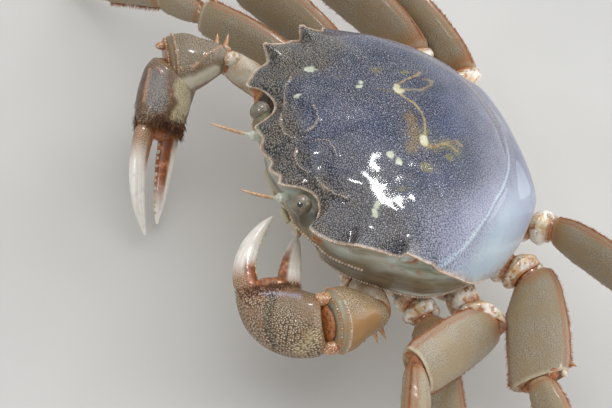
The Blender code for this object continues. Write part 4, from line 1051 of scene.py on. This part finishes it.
# Points of each claw, the ways its palm, back and arm face, and the arm's spiny side
CLAWS = {
    "left": ((12.5, -8.6, -17.2), (19.8, -9.4, -17.6), (29.4, -11.0, -13.4),
             (31.7, -22.3, -11.3), (31.3, -24.1, -12.0), (28.5, -31.5, -15.8),
             (21.6, -30.8, -12.1), (8.2, -26.0, -8.3), (9.6, -20.0, -13.6),
             (0.56, -0.43, 0.7), (-0.36, -0.9, -0.27), (0.56, -0.43, 0.7), -1.0),
    "right": ((-12.5, -8.6, -17.2), (-26.5, -9.2, -16.2), (-33.9, -20.5, -10.8),
              (-35.6, -32.5, -12.3), (-34.4, -31.0, -13.2), (-33.2, -32.9, -15.7),
              (-25.7, -35.6, -20.2), (-9.3, -41.4, -31.9), (-11.9, -37.9, -32.3),
              (-0.64, -0.47, -0.59), (0.25, -0.87, 0.42), (0.5, -0.3, 0.8), 1.0),
}


ARM_WIDTH, WRIST_SIZE, PALM_SIZE = 6.4, (12.2, 9.0), (12.6, 9.6)
# Spines of the wrist: place along it, lean, length and width
WRIST_THORNS = ((0.03, -0.5, 3.4, 1.6), (0.14, -0.3, 2.6, 1.4), (0.3, 0.2, 0.9, 0.8),
                (0.46, 0.2, 0.7, 0.7))
# Marks on the claws: lines in space and how far they reach
PALM_MARKS = {
    "left": {
        "stripe": (((25.8, -32.0, -9.3), (27.3, -33.0, -10.6), (29.3, -33.5, -12.2),
                    (31.0, -33.1, -14.1), (32.3, -32.0, -15.6)), 0.5, 1.1),
        "flank": (((24.6, -35.3, -12.2), (28.1, -35.0, -13.7), (30.1, -33.9, -16.0)), 1.4, 2.4),
        "cream": (((34.5, -28.5, -13.8), (34.3, -26.6, -11.2)), 0.8, 2.2),
        "lilac": (((24.2, -33.0, -9.5), (25.1, -31.2, -9.1), (26.0, -29.2, -8.7),
                   (27.1, -27.5, -8.3)), 0.1, 1.1),
        "tint_and_painted_shade": (((21.4, -34.0, -9.0), (22.4, -36.0, -11.0), (24.0, -30.0, -8.6)), 1.2, 3.2),
    },
    "right": {
        "border": (((-33.6, -35.8, -10.1), (-32.5, -35.5, -10.0), (-30.3, -34.4, -10.7),
                    (-28.6, -33.8, -12.3), (-26.9, -34.0, -14.2), (-25.2, -34.9, -16.2),
                    (-25.4, -37.3, -16.5), (-26.4, -39.3, -15.9), (-28.7, -38.7, -14.0),
                    (-30.9, -38.0, -12.2), (-33.4, -36.9, -10.7)), 0.15, 0.5),
        "face": (((-31.3, -36.0, -11.0), (-27.5, -36.7, -13.6)), 1.6, 2.6),
        "cream": (((-29.8, -31.4, -12.6), (-27.6, -30.5, -15.6), (-25.5, -32.0, -16.6)),
                  1.4, 2.8),
        # Dark brown painted shade on the right palm by the finger roots.
        "tint_and_painted_shade": (((-34.0, -38.0, -13.0), (-32.3, -40.1, -14.4), (-28.9, -41.1, -16.7)),
                  1.4, 3.0),
    },
}
WRIST_MARKS = {
    "left": {
        "plain": (((35.2, -18.7, -9.9), (35.6, -20.4, -12.5), (33.1, -14.9, -10.6)), 2.0, 4.0),
        "stripe": (((33.6, -19.4, -9.2), (34.6, -19.2, -12.0)), 0.2, 0.6),
    },
    "right": {
        "border": (((-35.2, -34.0, -11.6), (-34.1, -32.9, -10.7), (-31.6, -30.9, -9.4),
                    (-31.5, -28.3, -8.7), (-33.5, -24.8, -7.2), (-35.2, -21.6, -7.5)),
                   0.1, 0.45),
        "cream": (((-30.2, -30.3, -12.2), (-30.1, -27.3, -11.1), (-30.7, -24.1, -10.2)),
                  0.9, 2.0),
        "plain": (((-30.2, -30.3, -12.2), (-30.1, -27.3, -11.1), (-30.7, -24.1, -10.2)),
                  1.2, 2.6),
    },
}


def marks_on(verts, marks):
    return {key: near(verts, *mark) for key, mark in marks.items()}


def make_claw(side, claw, looks, furs, skins, thorns, knobs, teeth, hinges):
    (root, shoulder, elbow, wrist, heel, bend, knuckle, thumb_tip, finger_tip, face, dorsal,
     arm_face) = map(np.array, claw[:12])
    planes = joint_planes([root, shoulder, elbow, wrist])
    node = "claw_" + side
    joint(node + "_base", root, shoulder, arm_face, "base", (1.0, ARM_WIDTH, ARM_WIDTH),
          looks["base"], "limb", None, planes[1])
    joint(node + "_merus", shoulder, elbow, arm_face, "arm", (12.0, ARM_WIDTH, ARM_WIDTH),
          looks["arm"], "limb", planes[1], planes[2], cup=False)
    make_wrist(node, side, elbow, wrist, arm_face, planes[2], looks, hinges)
    axis = unit(wrist - elbow)
    skins.append((elbow, 2.8, 2.6, axis, arm_face))
    for place, lean, length, width in WRIST_THORNS:
        thorn(thorns, elbow, wrist, arm_face, "wrist", (11.0, *WRIST_SIZE), place, claw[12],
              lean, length, width)
    reach = unit(np.cross(axis, unit(arm_face - axis * (axis @ arm_face))))
    wide, size = (4.6, 1.7) if side == "left" else (4.0, 1.1)
    knob_pair(hinges, wrist + axis * 0.3, axis, reach, wide, size)
    knob_pair(knobs, elbow - axis * 0.2, axis, reach, 2.4, 1.0)
    knob(knobs, elbow - axis * 1.0 + arm_face * 2.0, axis, arm_face, 1.6)
    path = bent(heel + unit(heel - bend) * 1.0, bend, knuckle)
    verts, faces, masks, grid = loft(path, face, "palm", *PALM_SIZE, keel=0.0, rings=90,
                                     sides=110, cup=False)
    marks = marks_on(verts, PALM_MARKS[side])
    masks.update(marks)
    masks["rim"] = masks["rim"] * 0.5
    masks["edge"] = masks["edge"] * 0.0
    verts = press(verts, grid, sum(amount * marks.get(key, 0.0) for key, amount in
                                   (("stripe", -0.5), ("border", 0.28), ("lilac", 0.2))))
    skins.append((heel * 0.3 + wrist * 0.7, 4.0, 3.0, axis, arm_face, 0.9))
    furs.append((side, grid))
    add_piece(node + "_palm_skin", verts, faces, looks["palm_" + side],
              (node + "_palm",), masks, grid["skin"])
    axis = unit(knuckle - bend)
    across = unit(dorsal - axis * (dorsal @ axis))
    skins.append((knuckle + axis * 0.3 - across * 0.4, 4.2, 1.9, axis, face, 1.8))
    start = knuckle - across * 3.6 - axis * 3.0
    mid = (start + finger_tip) * 0.5 + across * 0.8
    start_thumb = knuckle + across * 3.6 + axis * 0.3
    mid_thumb = (start_thumb + thumb_tip) * 0.5 + across * 4.8
    both = (("_fixed_finger", bent(start, mid, finger_tip), 5.2, None, across, ()),
            ("_thumb_skin", bent(start_thumb, mid_thumb, thumb_tip), 4.7, axis, -across,
             (node + "_thumb",)))
    for label, way, width, plane, inward, nodes in both:
        verts, faces, masks, grid = loft(way, face, "finger", width, 3.4, plane, None, keel=0.0,
                                         rings=64, sides=40, cup=False, rough=0.03,
                                         toward=inward)
        if nodes:
            masks["inner"] = masks["inner"] * step(0.5, 0.25, grid["place"])
        add_piece(node + label, verts, faces, looks["finger"], nodes, masks,
                  grid["skin"])
        for t in np.linspace(0.2, 0.88, 13):
            k = int(t * (len(grid["t"]) - 1))
            lean = unit(inward - grid["axis"][k] * (inward @ grid["axis"][k]))
            spot = grid["centre"][k] + lean * (grid["wide"][k] * 0.94)
            size = (0.34 + 0.2 * math.sin(t * 31.0) ** 2) * (1.1 - 0.6 * t)
            knob(teeth, spot, grid["axis"][k], lean, size)
    skins.append((start_thumb - axis * 0.2, 2.1, 1.6, axis, face))


def make_wrist(node, side, elbow, wrist, face, first, looks, beads):
    """The claw's wrist, with a smooth crescent at its outer end."""
    axis = unit(wrist - elbow)
    a = elbow + axis * (HALF_GAP / (axis @ first))
    b = wrist - axis * HALF_GAP
    verts, faces, masks, grid = loft(straight(a, b, vec(0, 0, 0.33)), face, "wrist",
                                     *WRIST_SIZE, first, axis, 0.1, rings=70, sides=80, cup=False)
    masks.update(marks_on(verts, WRIST_MARKS[side]))
    place = grid["place"]
    smooth_end = step(0.87, 0.9, place)
    masks["cap"] = smooth_end
    masks["white"] = bell(place - 0.86, 0.018)
    masks["rim"] = masks["rim"] * (1.0 - smooth_end)
    amount = 0.25 * masks["white"] - 0.25 * smooth_end
    amount = amount + 0.25 * masks.get("border", 0.0) - 0.2 * masks.get("stripe", 0.0)
    verts = press(verts, grid, amount)
    add_piece(node + "_carpus_skin", verts, faces, looks["wrist_" + side],
              (node + "_carpus",), masks, grid["skin"])
    body = grid["body"]
    row = int(np.argmin(np.abs(grid["t"] - 0.865)))
    for ring, size in ((body[row], 0.2), (body[-1], 0.24)):
        for spot, _ in along_ring(ring, np.ones(len(ring), bool), 0.52):
            out = unit(spot - ring.mean(0))
            size_here = size * (0.8 + 0.4 * DICE.random())
            beads.add(*small_ball(spot + out * 0.12, size_here, 1.0, 4, 6))


def make_skins(skins, material):
    """The soft skin that shows between a limb's joints."""
    heap = Heap()
    for centre, wide, deep, axis, face, *thick in skins:
        thick = thick[0] if thick else min(wide, deep) * 0.9
        through = unit(face - axis * (axis @ face))
        across = np.cross(axis, through)
        s = np.linspace(-0.92, 0.92, 9)
        fat = np.sqrt(1 - s * s) * 0.93
        heap.add(*skin_rings(tube(centre + axis * (s * thick)[:, None], across, through,
                                  wide * fat, deep * fat, 24)))
    verts = heap.array()
    verts = verts + 0.08 * np.stack([wander(verts + k, 0.9) for k in (0, 50, 90)], 1)
    add_piece("joint_skins", verts, heap.faces, material)


# Hair

def coat(name, roots, ways, lengths, widths, spots, material, slot):
    """Tapering solid tufts; each one's patch of the coat map lies where its root does."""
    count = len(roots)
    ways = unit(ways)
    other = unit(np.cross(ways, DICE.normal(size=(count, 3))))
    third = np.cross(ways, other)
    turn = np.arange(3) * 2 * math.pi / 3
    wheel = (other[:, None, :] * np.cos(turn)[None, :, None]
             + third[:, None, :] * np.sin(turn)[None, :, None])
    low = roots[:, None, :] + wheel * widths[:, None, None] * 0.5
    reach = ways * lengths[:, None]
    mid = (roots + reach * 0.55)[:, None, :] + wheel * widths[:, None, None] * 0.36
    tip = (roots + reach - vec(0, 0, 1) * (lengths * 0.08)[:, None])[:, None, :]
    verts = np.concatenate([low, mid, tip], 1).reshape(-1, 3)
    one = [(0, 1, 4, 3), (1, 2, 5, 4), (2, 0, 3, 5), (3, 4, 6), (4, 5, 6), (5, 3, 6), (2, 1, 0)]
    faces = [tuple(i + k * 7 for i in face) for k in range(count) for face in one]
    item = add_piece(name, verts, faces, material)
    layer = item.data.uv_layers.new(name="OFBake")
    patch = np.array([(0.0, 0.0), (0.003, 0.0), (0.0015, 0.0015), (0.0, 0.002),
                      (0.003, 0.002), (0.0015, 0.0025), (0.0015, 0.003)])
    corner = np.array([i for face in one for i in face])
    uv = (np.asarray(spots)[:, None, :] * 0.99 + patch[corner][None, :, :]).reshape(-1, 2)
    layer.data.foreach_set("uv", uv.astype(np.float32).ravel())
    return item


def skin_point(grid, ring, side):
    """Points on a loft, the way out there and the way along."""
    body = grid["body"]
    k = np.minimum(ring.astype(int), len(body) - 2)
    f = (ring - k)[:, None]
    point = body[k, side] * (1 - f) + body[k + 1, side] * f
    return point, unit(point - grid["centre"][k]), grid["axis"][k]


# Bristles on each edge of a leg's joint, and their length
BRISTLES = {"merus": (260, 0.75), "carpus": (120, 0.8), "shank": (420, 1.5), "toe": (200, 0.9)}
# Hairs of each claw, and their greatest length
FUR = {"left": (2200, 1.2), "right": (3600, 2.2)}


def leg_fringes(hairs, material):
    """Short bristles on the narrow edges of the leg joints."""
    tufts = []
    for row, (grid, part) in enumerate(hairs):
        per, size = BRISTLES[part]
        rings, sides = grid["body"].shape[:2]
        for edge in (0, sides // 2):
            r = DICE.uniform(0.04, 0.96, per) * (rings - 1)
            s = (edge + DICE.integers(-1, 2, per)) % sides
            point, out, axis = skin_point(grid, r, s)
            tufts.append((point - out * 0.1, out + axis * 0.7 + DICE.normal(0, 0.22, (per, 3)),
                          size * DICE.uniform(0.5, 1.2, per), DICE.uniform(0.07, 0.13, per),
                          np.stack([(row % 8 + r / rings) / 8, (row // 8 + s / sides) / 4], 1)))
    coat("leg_bristles", *(np.concatenate(values) for values in zip(*tufts)), material, "limb")


def claw_fur(furs, material):
    """The mitten: soft hair on both faces of the palm, thickest towards the fingers."""
    for index, (side, grid) in enumerate(furs):
        count, longest = FUR[side]
        rings, sides = grid["body"].shape[:2]
        t = np.clip(1.0 - np.abs(DICE.normal(0, 0.11, count)), 0.5, 0.995)
        s = DICE.integers(0, sides, count)
        keep = DICE.random(count) < 0.12 + 0.88 * np.abs(np.sin(grid["angle"][s])) ** 3
        t, s = t[keep], s[keep]
        r = t * (rings - 1)
        point, out, axis = skin_point(grid, r, s)
        way = out * 0.45 + axis + DICE.normal(0, 0.22, (len(t), 3))
        coat("claw_fur_" + side, point - out * 0.15, way,
             DICE.uniform(0.5, longest, len(t)) * (0.4 + 0.6 * step(0.6, 0.95, t)),
             DICE.uniform(0.09, 0.16, len(t)),
             np.stack([(index + s / sides) / 2, r / rings], 1), material, "claw")


# Head and underside

def mirror(p, side):
    return p * vec(side, 1, 1)


def make_eye(side, label, material):
    start, end = mirror(vec(9.6, -22.3, -1.7), side), mirror(vec(13.3, -23.9, -0.2), side)
    axis = unit(end - start)
    length = np.linalg.norm(end - start)
    form = ((0.0, 0.5), (0.14, 0.56), (0.3, 0.66), (0.42, 0.94), (0.6, 1.0), (0.8, 0.84),
            (0.94, 0.48), (1.0, 0.16))
    table = np.array(form)
    t = np.linspace(0, 1, 60)
    radius = pchip(table[:, 0], table[:, 1], t) * 2.05
    up = unit(vec(0, 0, 1) - axis * axis[2])
    across = np.cross(axis, up)
    rings = tube(start + axis * (t * length)[:, None], across, up, radius, radius, 48)
    verts, faces = skin_rings(rings, start, end)
    ball = start + axis * length * 0.6
    look = unit(vec(0.5 * side, -0.5, 0.7))
    away = np.linalg.norm(verts - (ball + look * 2.0), axis=1)
    place = np.append(np.repeat(t, 48), [0.0, 1.0])
    masks = {"round": away / 5.0, "stalk": step(0.42, 0.34, place),
             "pupil": step(0.75, 0.45, away)}
    add_piece("eye_%s_skin" % label, verts, faces, material, ("eye_" + label,), masks)


FEELER_TIPS = {"left": vec(7.6, -34.4, 0.6), "right": vec(-10.6, -33.6, -1.6)}


def make_feeler(side, label, material):
    start, knee = mirror(vec(7.6, -24.2, -3.4), side), mirror(vec(8.2, -27.4, -3.0), side)
    t = np.linspace(0, 1, 120)
    path = bent(start, knee, FEELER_TIPS[label])(t)
    axis = unit(np.gradient(path, axis=0))
    up = unit(vec(0, 0, 1) - axis * axis[:, 2:3])
    across = np.cross(axis, up)
    radius = pchip((0, 0.2, 0.26, 0.34, 0.7, 1.0), (0.95, 0.95, 0.57, 0.38, 0.31, 0.13), t)
    radius = radius * (1 + 0.1 * np.abs(np.sin(t * 90.0)) * step(0.3, 0.4, t))
    verts, faces = skin_rings(tube(path, across, up, radius, radius, 14))
    masks = {"edge": np.append(np.repeat(step(0.3, 0.5, t), 14), [0, 1])}
    add_piece("antenna_%s_skin" % label, verts, faces, material,
              ("antenna_" + label,), masks)


def make_jaw(side, label, material):
    """A plate that closes the mouth, with its cross joint, long furrow and palp."""
    start, end = mirror(vec(4.1, -19.8, -11.6), side), mirror(vec(3.6, -16.6, -19.4), side)
    front = vec(0, -1, 0)
    verts, faces, masks, grid = loft(straight(start, end), front, "jaw", 7.2, 2.2, keel=0.0,
                                     rings=70, sides=64, cup=False, rough=0.04)
    seam = bell(grid["place"] - 0.5, 0.02)
    furrow = bell(verts[:, 0] * side - 4.6, 0.25)
    masks["edge"] = np.maximum(masks["edge"], np.maximum(0.8 * seam, 0.5 * furrow))
    verts = press(verts, grid, -0.28 * seam - 0.16 * furrow)
    add_piece("mouthpart_%s_skin" % label, verts, faces, material,
              ("mouthpart_" + label,), masks)
    path = bent(mirror(vec(6.3, -20.8, -12.9), side), mirror(vec(2.6, -21.4, -12.0), side),
                mirror(vec(1.5, -19.5, -16.4), side))
    verts, faces, masks, _ = loft(path, front, "finger", 1.5, 1.2, keel=0.0, rings=50,
                                  sides=20, cup=False, rough=0.03)
    add_piece("mouth_palp_" + label, verts, faces, material, (), masks)


# Furrows between the breast plate's segments
GROOVES = (-12.4, -6.6, 0.4, 7.6, 13.4)


def make_breast(foot, material):
    """The breast plate under the shell, with the furrows between its segments."""
    levels = np.linspace(0.0, 1.0, 60)
    height = pchip((0.0, 0.2, 0.5, 0.8, 1.0), (-11.2, -14.0, -17.0, -19.6, -20.0), levels)
    share = pchip((0.0, 0.2, 0.5, 0.8, 1.0), (0.77, 0.76, 0.68, 0.56, 0.3), levels)
    lower = relaxed(foot, 14.0)
    rings = []
    for z, part in zip(height, share):
        ring = CENTRE + (lower - CENTRE) * part
        ring[:, 2] = z
        out = unit((ring - CENTRE) * vec(1, 1, 0))
        for groove in GROOVES:
            deep = bell(ring[:, 1] - groove, 0.45)
            ring = ring - out * (0.4 * deep)[:, None]
            ring[:, 2] += 0.25 * deep * step(-18.0, -19.6, z)
        rings.append(ring + out * (0.06 * wander(ring, 1.6))[:, None])
    verts, faces = skin_rings(np.array(rings))
    lines = np.max([bell(verts[:, 1] - groove, 0.3) for groove in GROOVES], 0)
    add_piece("sternum_skin", verts, faces, material, ("sternum",),
              {"edge": 0.7 * lines})


# Tail flap: place along the body, height and half width where two segments meet
FLAP = np.array([(25.6, -8.4, 5.6), (25.0, -13.6, 6.4), (21.8, -18.9, 7.8),
                 (16.0, -21.2, 12.6), (9.4, -21.7, 15.4), (2.4, -21.7, 15.8),
                 (-4.6, -21.6, 14.0), (-10.4, -21.5, 9.0), (-14.2, -21.4, 3.4)])


def make_flap(material, hair):
    """The broad tail flap, waisted and thin at its seams, with a fringe of hair."""
    t = np.linspace(0.0, len(FLAP) - 1.0, 161)
    y, z, half = (pchip(range(len(FLAP)), FLAP[:, k], t) for k in range(3))
    seam = bell(t - np.round(t), 0.07)
    half = half * (1.0 - 0.03 * seam)
    thick = 0.75 * (1.0 - 0.55 * seam)
    centre = np.stack([0 * y, y, z], 1)
    axis = unit(np.gradient(centre, axis=0))
    through = np.cross(vec(1, 0, 0), axis)
    angle = np.linspace(0, 2 * math.pi, 56, endpoint=False)
    verts, faces = skin_rings(tube(centre, vec(1, 0, 0), through, half, thick, 56, 0.6))
    edge = np.maximum(seam[:, None] * 0.8, step(0.96, 1.0, np.abs(np.cos(angle)))[None, :] * 0.7)
    add_piece("abdomen_skin", verts, faces, material, ("abdomen",),
              {"edge": np.append(edge.ravel(), [0.6, 0.6])})
    count = 1400
    row = DICE.uniform(0.02, 0.98, count) * (len(t) - 1)
    k = row.astype(int)
    side = np.where(DICE.random(count) < 0.5, 1.0, -1.0)
    roots = centre[k] + vec(1, 0, 0) * (half[k] * side * 0.99)[:, None]
    ways = (vec(1, 0, 0) * side[:, None] + axis[k] * 0.5 - through[k] * 0.1
            + DICE.normal(0, 0.2, (count, 3)))
    spots = np.stack([0.25 + 0.5 * (side > 0) + DICE.uniform(-0.1, 0.1, count),
                      row / len(t)], 1)
    coat("flap_fringe", roots, ways, DICE.uniform(0.6, 1.3, count),
         DICE.uniform(0.07, 0.12, count), spots, hair, "underside")


# World, floor, lights and camera

# The camera's place, what it looks at, and the way that lies across its picture
CAMERA_SPOT = vec(232.828, -180.263, 292.548)
CAMERA_AIM = vec(12.381, -22.672, 0)
CAMERA_ACROSS = vec(0.336006, 0.911361, 0.237741)
CAMERA_LENS, CAMERA_SENSOR = 126.893, 36.0
FLOOR_HALF = 3.0
WHITE = (1.0, 1.0, 1.0)


def link(item):
    bpy.context.scene.collection.objects.link(item)


def put(item, spot, aim, across=None):
    """Link an object at a spot, looking at its aim, with its width along a way."""
    back = unit(spot - aim)
    side = np.cross(vec(0, 0, 1), back) if across is None else across
    side = unit(side - back * (side @ back))
    columns = np.column_stack([side, np.cross(back, side), back, (spot + SHIFT) * MM])
    link(item)
    item.matrix_world = Matrix(np.vstack([columns, [0, 0, 0, 1]]).tolist())


def place_light(name, spot, aim, size, power, colour=WHITE, across=None,
                only_shine=False):
    data = bpy.data.lights.new(name, "AREA")
    data.shape = "RECTANGLE"
    data.size, data.size_y = size
    data.energy, data.color = power, colour
    item = bpy.data.objects.new(name, data)
    put(item, vec(*spot), vec(*aim), across)
    item.visible_camera = False
    item.visible_diffuse = not only_shine


def make_stage():
    mesh = bpy.data.meshes.new("floor")
    corners = ((-1, -1, 0), (1, -1, 0), (1, 1, 0), (-1, 1, 0))
    mesh.from_pydata([vec(*corner) * FLOOR_HALF for corner in corners], [], [(0, 1, 2, 3)])
    mesh.materials.append(two_tones("pale_floor"))
    floor = bpy.data.objects.new("floor", mesh)
    link(floor)
    make_sky()
    place_light("key", (-160, -120, 900), (0, 0, 0), (1.2, 1.2), 4.2, (1.0, 0.98, 0.95))
    place_light("glint", (-77, 66, 428), (18, -11, 5), (0.09, 0.05), 0.8,
                across=vec(1, 1, 0), only_shine=True)
    place_light("spark", (190, -270, 330), (10, -20, -5), (0.05, 0.05), 0.3, only_shine=True)
    bpy.context.scene.view_settings.view_transform = "Standard"


# The glow: the way to it, and the span of its falling off with the light at both ends
GLOW_WAY = (0.12, 0.98, 0.12)
GLOW = {"From Min": 0.45, "From Max": 1.0, "To Min": 0.6, "To Max": 2.7}
SEEN_LIGHT = 0.8


def make_sky():
    """Even pale light, with a soft glow from low behind the crab."""
    world = bpy.data.worlds.new("studio")
    bpy.context.scene.world = world
    world.use_nodes = True
    nodes, wire = world.node_tree.nodes, world.node_tree.links.new
    sky = nodes["Background"]
    sky.inputs["Color"].default_value = (0.93, 0.96, 1.0, 1.0)
    aim = nodes.new("ShaderNodeVectorMath")
    aim.operation = "DOT_PRODUCT"
    aim.inputs[1].default_value = GLOW_WAY
    glow = nodes.new("ShaderNodeMapRange")
    glow.interpolation_type = "SMOOTHSTEP"
    for key, number in GLOW.items():
        glow.inputs[key].default_value = number
    pick = nodes.new("ShaderNodeMix")
    pick.inputs["B"].default_value = SEEN_LIGHT
    wire(nodes.new("ShaderNodeTexCoord").outputs["Generated"], aim.inputs[0])
    wire(aim.outputs["Value"], glow.inputs["Value"])
    wire(nodes.new("ShaderNodeLightPath").outputs["Is Camera Ray"], pick.inputs["Factor"])
    wire(glow.outputs["Result"], pick.inputs["A"])
    wire(pick.outputs[0], sky.inputs["Strength"])


def make_camera():
    data = bpy.data.cameras.new("camera")
    data.sensor_fit, data.sensor_width, data.lens = "HORIZONTAL", CAMERA_SENSOR, CAMERA_LENS
    data.clip_start, data.clip_end = 0.01, 20.0
    camera = bpy.data.objects.new("camera", data)
    put(camera, CAMERA_SPOT, CAMERA_AIM, CAMERA_ACROSS)
    bpy.context.scene.camera = camera


# Limb horn: name, colours (base, second, edge, rim, dot, net, cap), grain size, shares of
# the dots and the net, coat, and the marks with their colour and share
HORN = {
    "limb": ("leg_horn", "a28e6e ab9c84 a8683c c0b093 c6b690 3a2c1e a9622f", 0.27,
             (0.55, 0.42), 0.2, ("hip", "ad6f38", 0.75)),
    "toe": ("toe_horn", "a07c50 96805a a5673a b98b5c c2a67c 5f4a30 a9622f", 0.4, (0.2, 0.3), 0.3),
    "arm": ("arm_horn", "d9cfb8 b99468 a9703f a8652f e2d6c0 8a5a34 a9622f", 0.34, (0.4, 0.4),
            0.7),
    "wrist_left": ("wrist_horn", "a08360 b89c74 b98a5c c9a072 efe4cf 523b26 9a9e88", 0.34,
                   (0.85, 0.5), 0.5, ("plain", "ba8c58", 0.85), ("stripe", "8f6336", 0.7),
                   ("white", "e4dac8", 0.95)),
    "wrist_right": ("wrist_horn_far", "7d6a4e 8d7a62 b98a5c c9a072 cdbfa6 3f3022 8a7350", 0.34,
                    (0.7, 0.5), 0.5, ("cream", "ddd3bd", 0.9), ("white", "a98a68", 0.8),
                    ("border", "cf9c78", 0.9)),
    "palm_left": ("palm_horn", "8a6a46 98784f a8774a c09a72 ece2d0 33251a a9622f", 0.34,
                  (1.0, 0.8), 0.5, ("flank", "a07a5c", 0.7), ("cream", "cdb384", 0.8),
                  ("tint_and_painted_shade", "ab6c3a", 0.75), ("stripe", "6b5a34", 0.95),
                  ("lilac", "b3a8ba", 0.7)),
    "palm_right": ("palm_horn_far", "75583c 86694a a8774a c09a72 cfc2ac 3a2a1c a9622f", 0.33,
                   (0.6, 0.6), 0.5, ("face", "8f8a86", 0.85), ("cream", "e6d9b2", 0.9),
                   # The dark brown 5a3924 on the right palm is painted shade; the left palm's
                   # ab6c3a is an orange tint.
                   ("tint_and_painted_shade", "5a3924", 0.85), ("border", "cb9670", 0.9)),
}


def main():
    make_camera()
    make_stage()
    looks = {key: horn_material(*row) for key, row in HORN.items()}
    looks["base"], looks["finger"] = base_material(), finger_material()
    pale = edged_material("pale_horn", (4.0, 0.5), ("d3cbb2", "bfb894"), ("a87c4c", "c29a6c"),
                          0.42, 0.05, 0.7, 0.4, 0.14, 0.5, 0.1)
    foot = make_shell(shell_material(), two_tones("shell_beads"))
    hairs, furs, skins = [], [], []
    thorns, knobs, teeth, hinges = Heap(), Heap(), Heap(), Heap()
    for name, leg in LEGS.items():
        make_leg(name, leg, looks, hairs, skins, thorns, knobs)
    for side, claw in CLAWS.items():
        make_claw(side, claw, looks, furs, skins, thorns, knobs, teeth, hinges)
    for name, heap, material, slot in (
            ("thorns", thorns, two_tones("thorns"), "limb"),
            ("joint_knobs", knobs, two_tones("pale_knobs"), "limb"),
            ("claw_hinges", hinges, hinge_material(), "claw"),
            ("finger_teeth", teeth, pale, "finger")):
        add_piece(name, heap.array(), heap.faces, material)
    make_skins(skins, soft_material())
    bristle = two_tones("bristles")
    leg_fringes(hairs, bristle)
    claw_fur(furs, two_tones("mitten_fur"))
    feeler = edged_material("feeler", (0.5, 0.5), ("c4c9b4", "e2e2d4"), ("b98e63", "dcb48c"),
                            0.4, 0.08, 0.8, 0.5, 0.12)
    for make, material in ((make_eye, eye_material()), (make_feeler, feeler), (make_jaw, pale)):
        for side, label in SIDES:
            make(side, label, material)
    make_breast(foot, pale)
    make_flap(pale, bristle)


main()
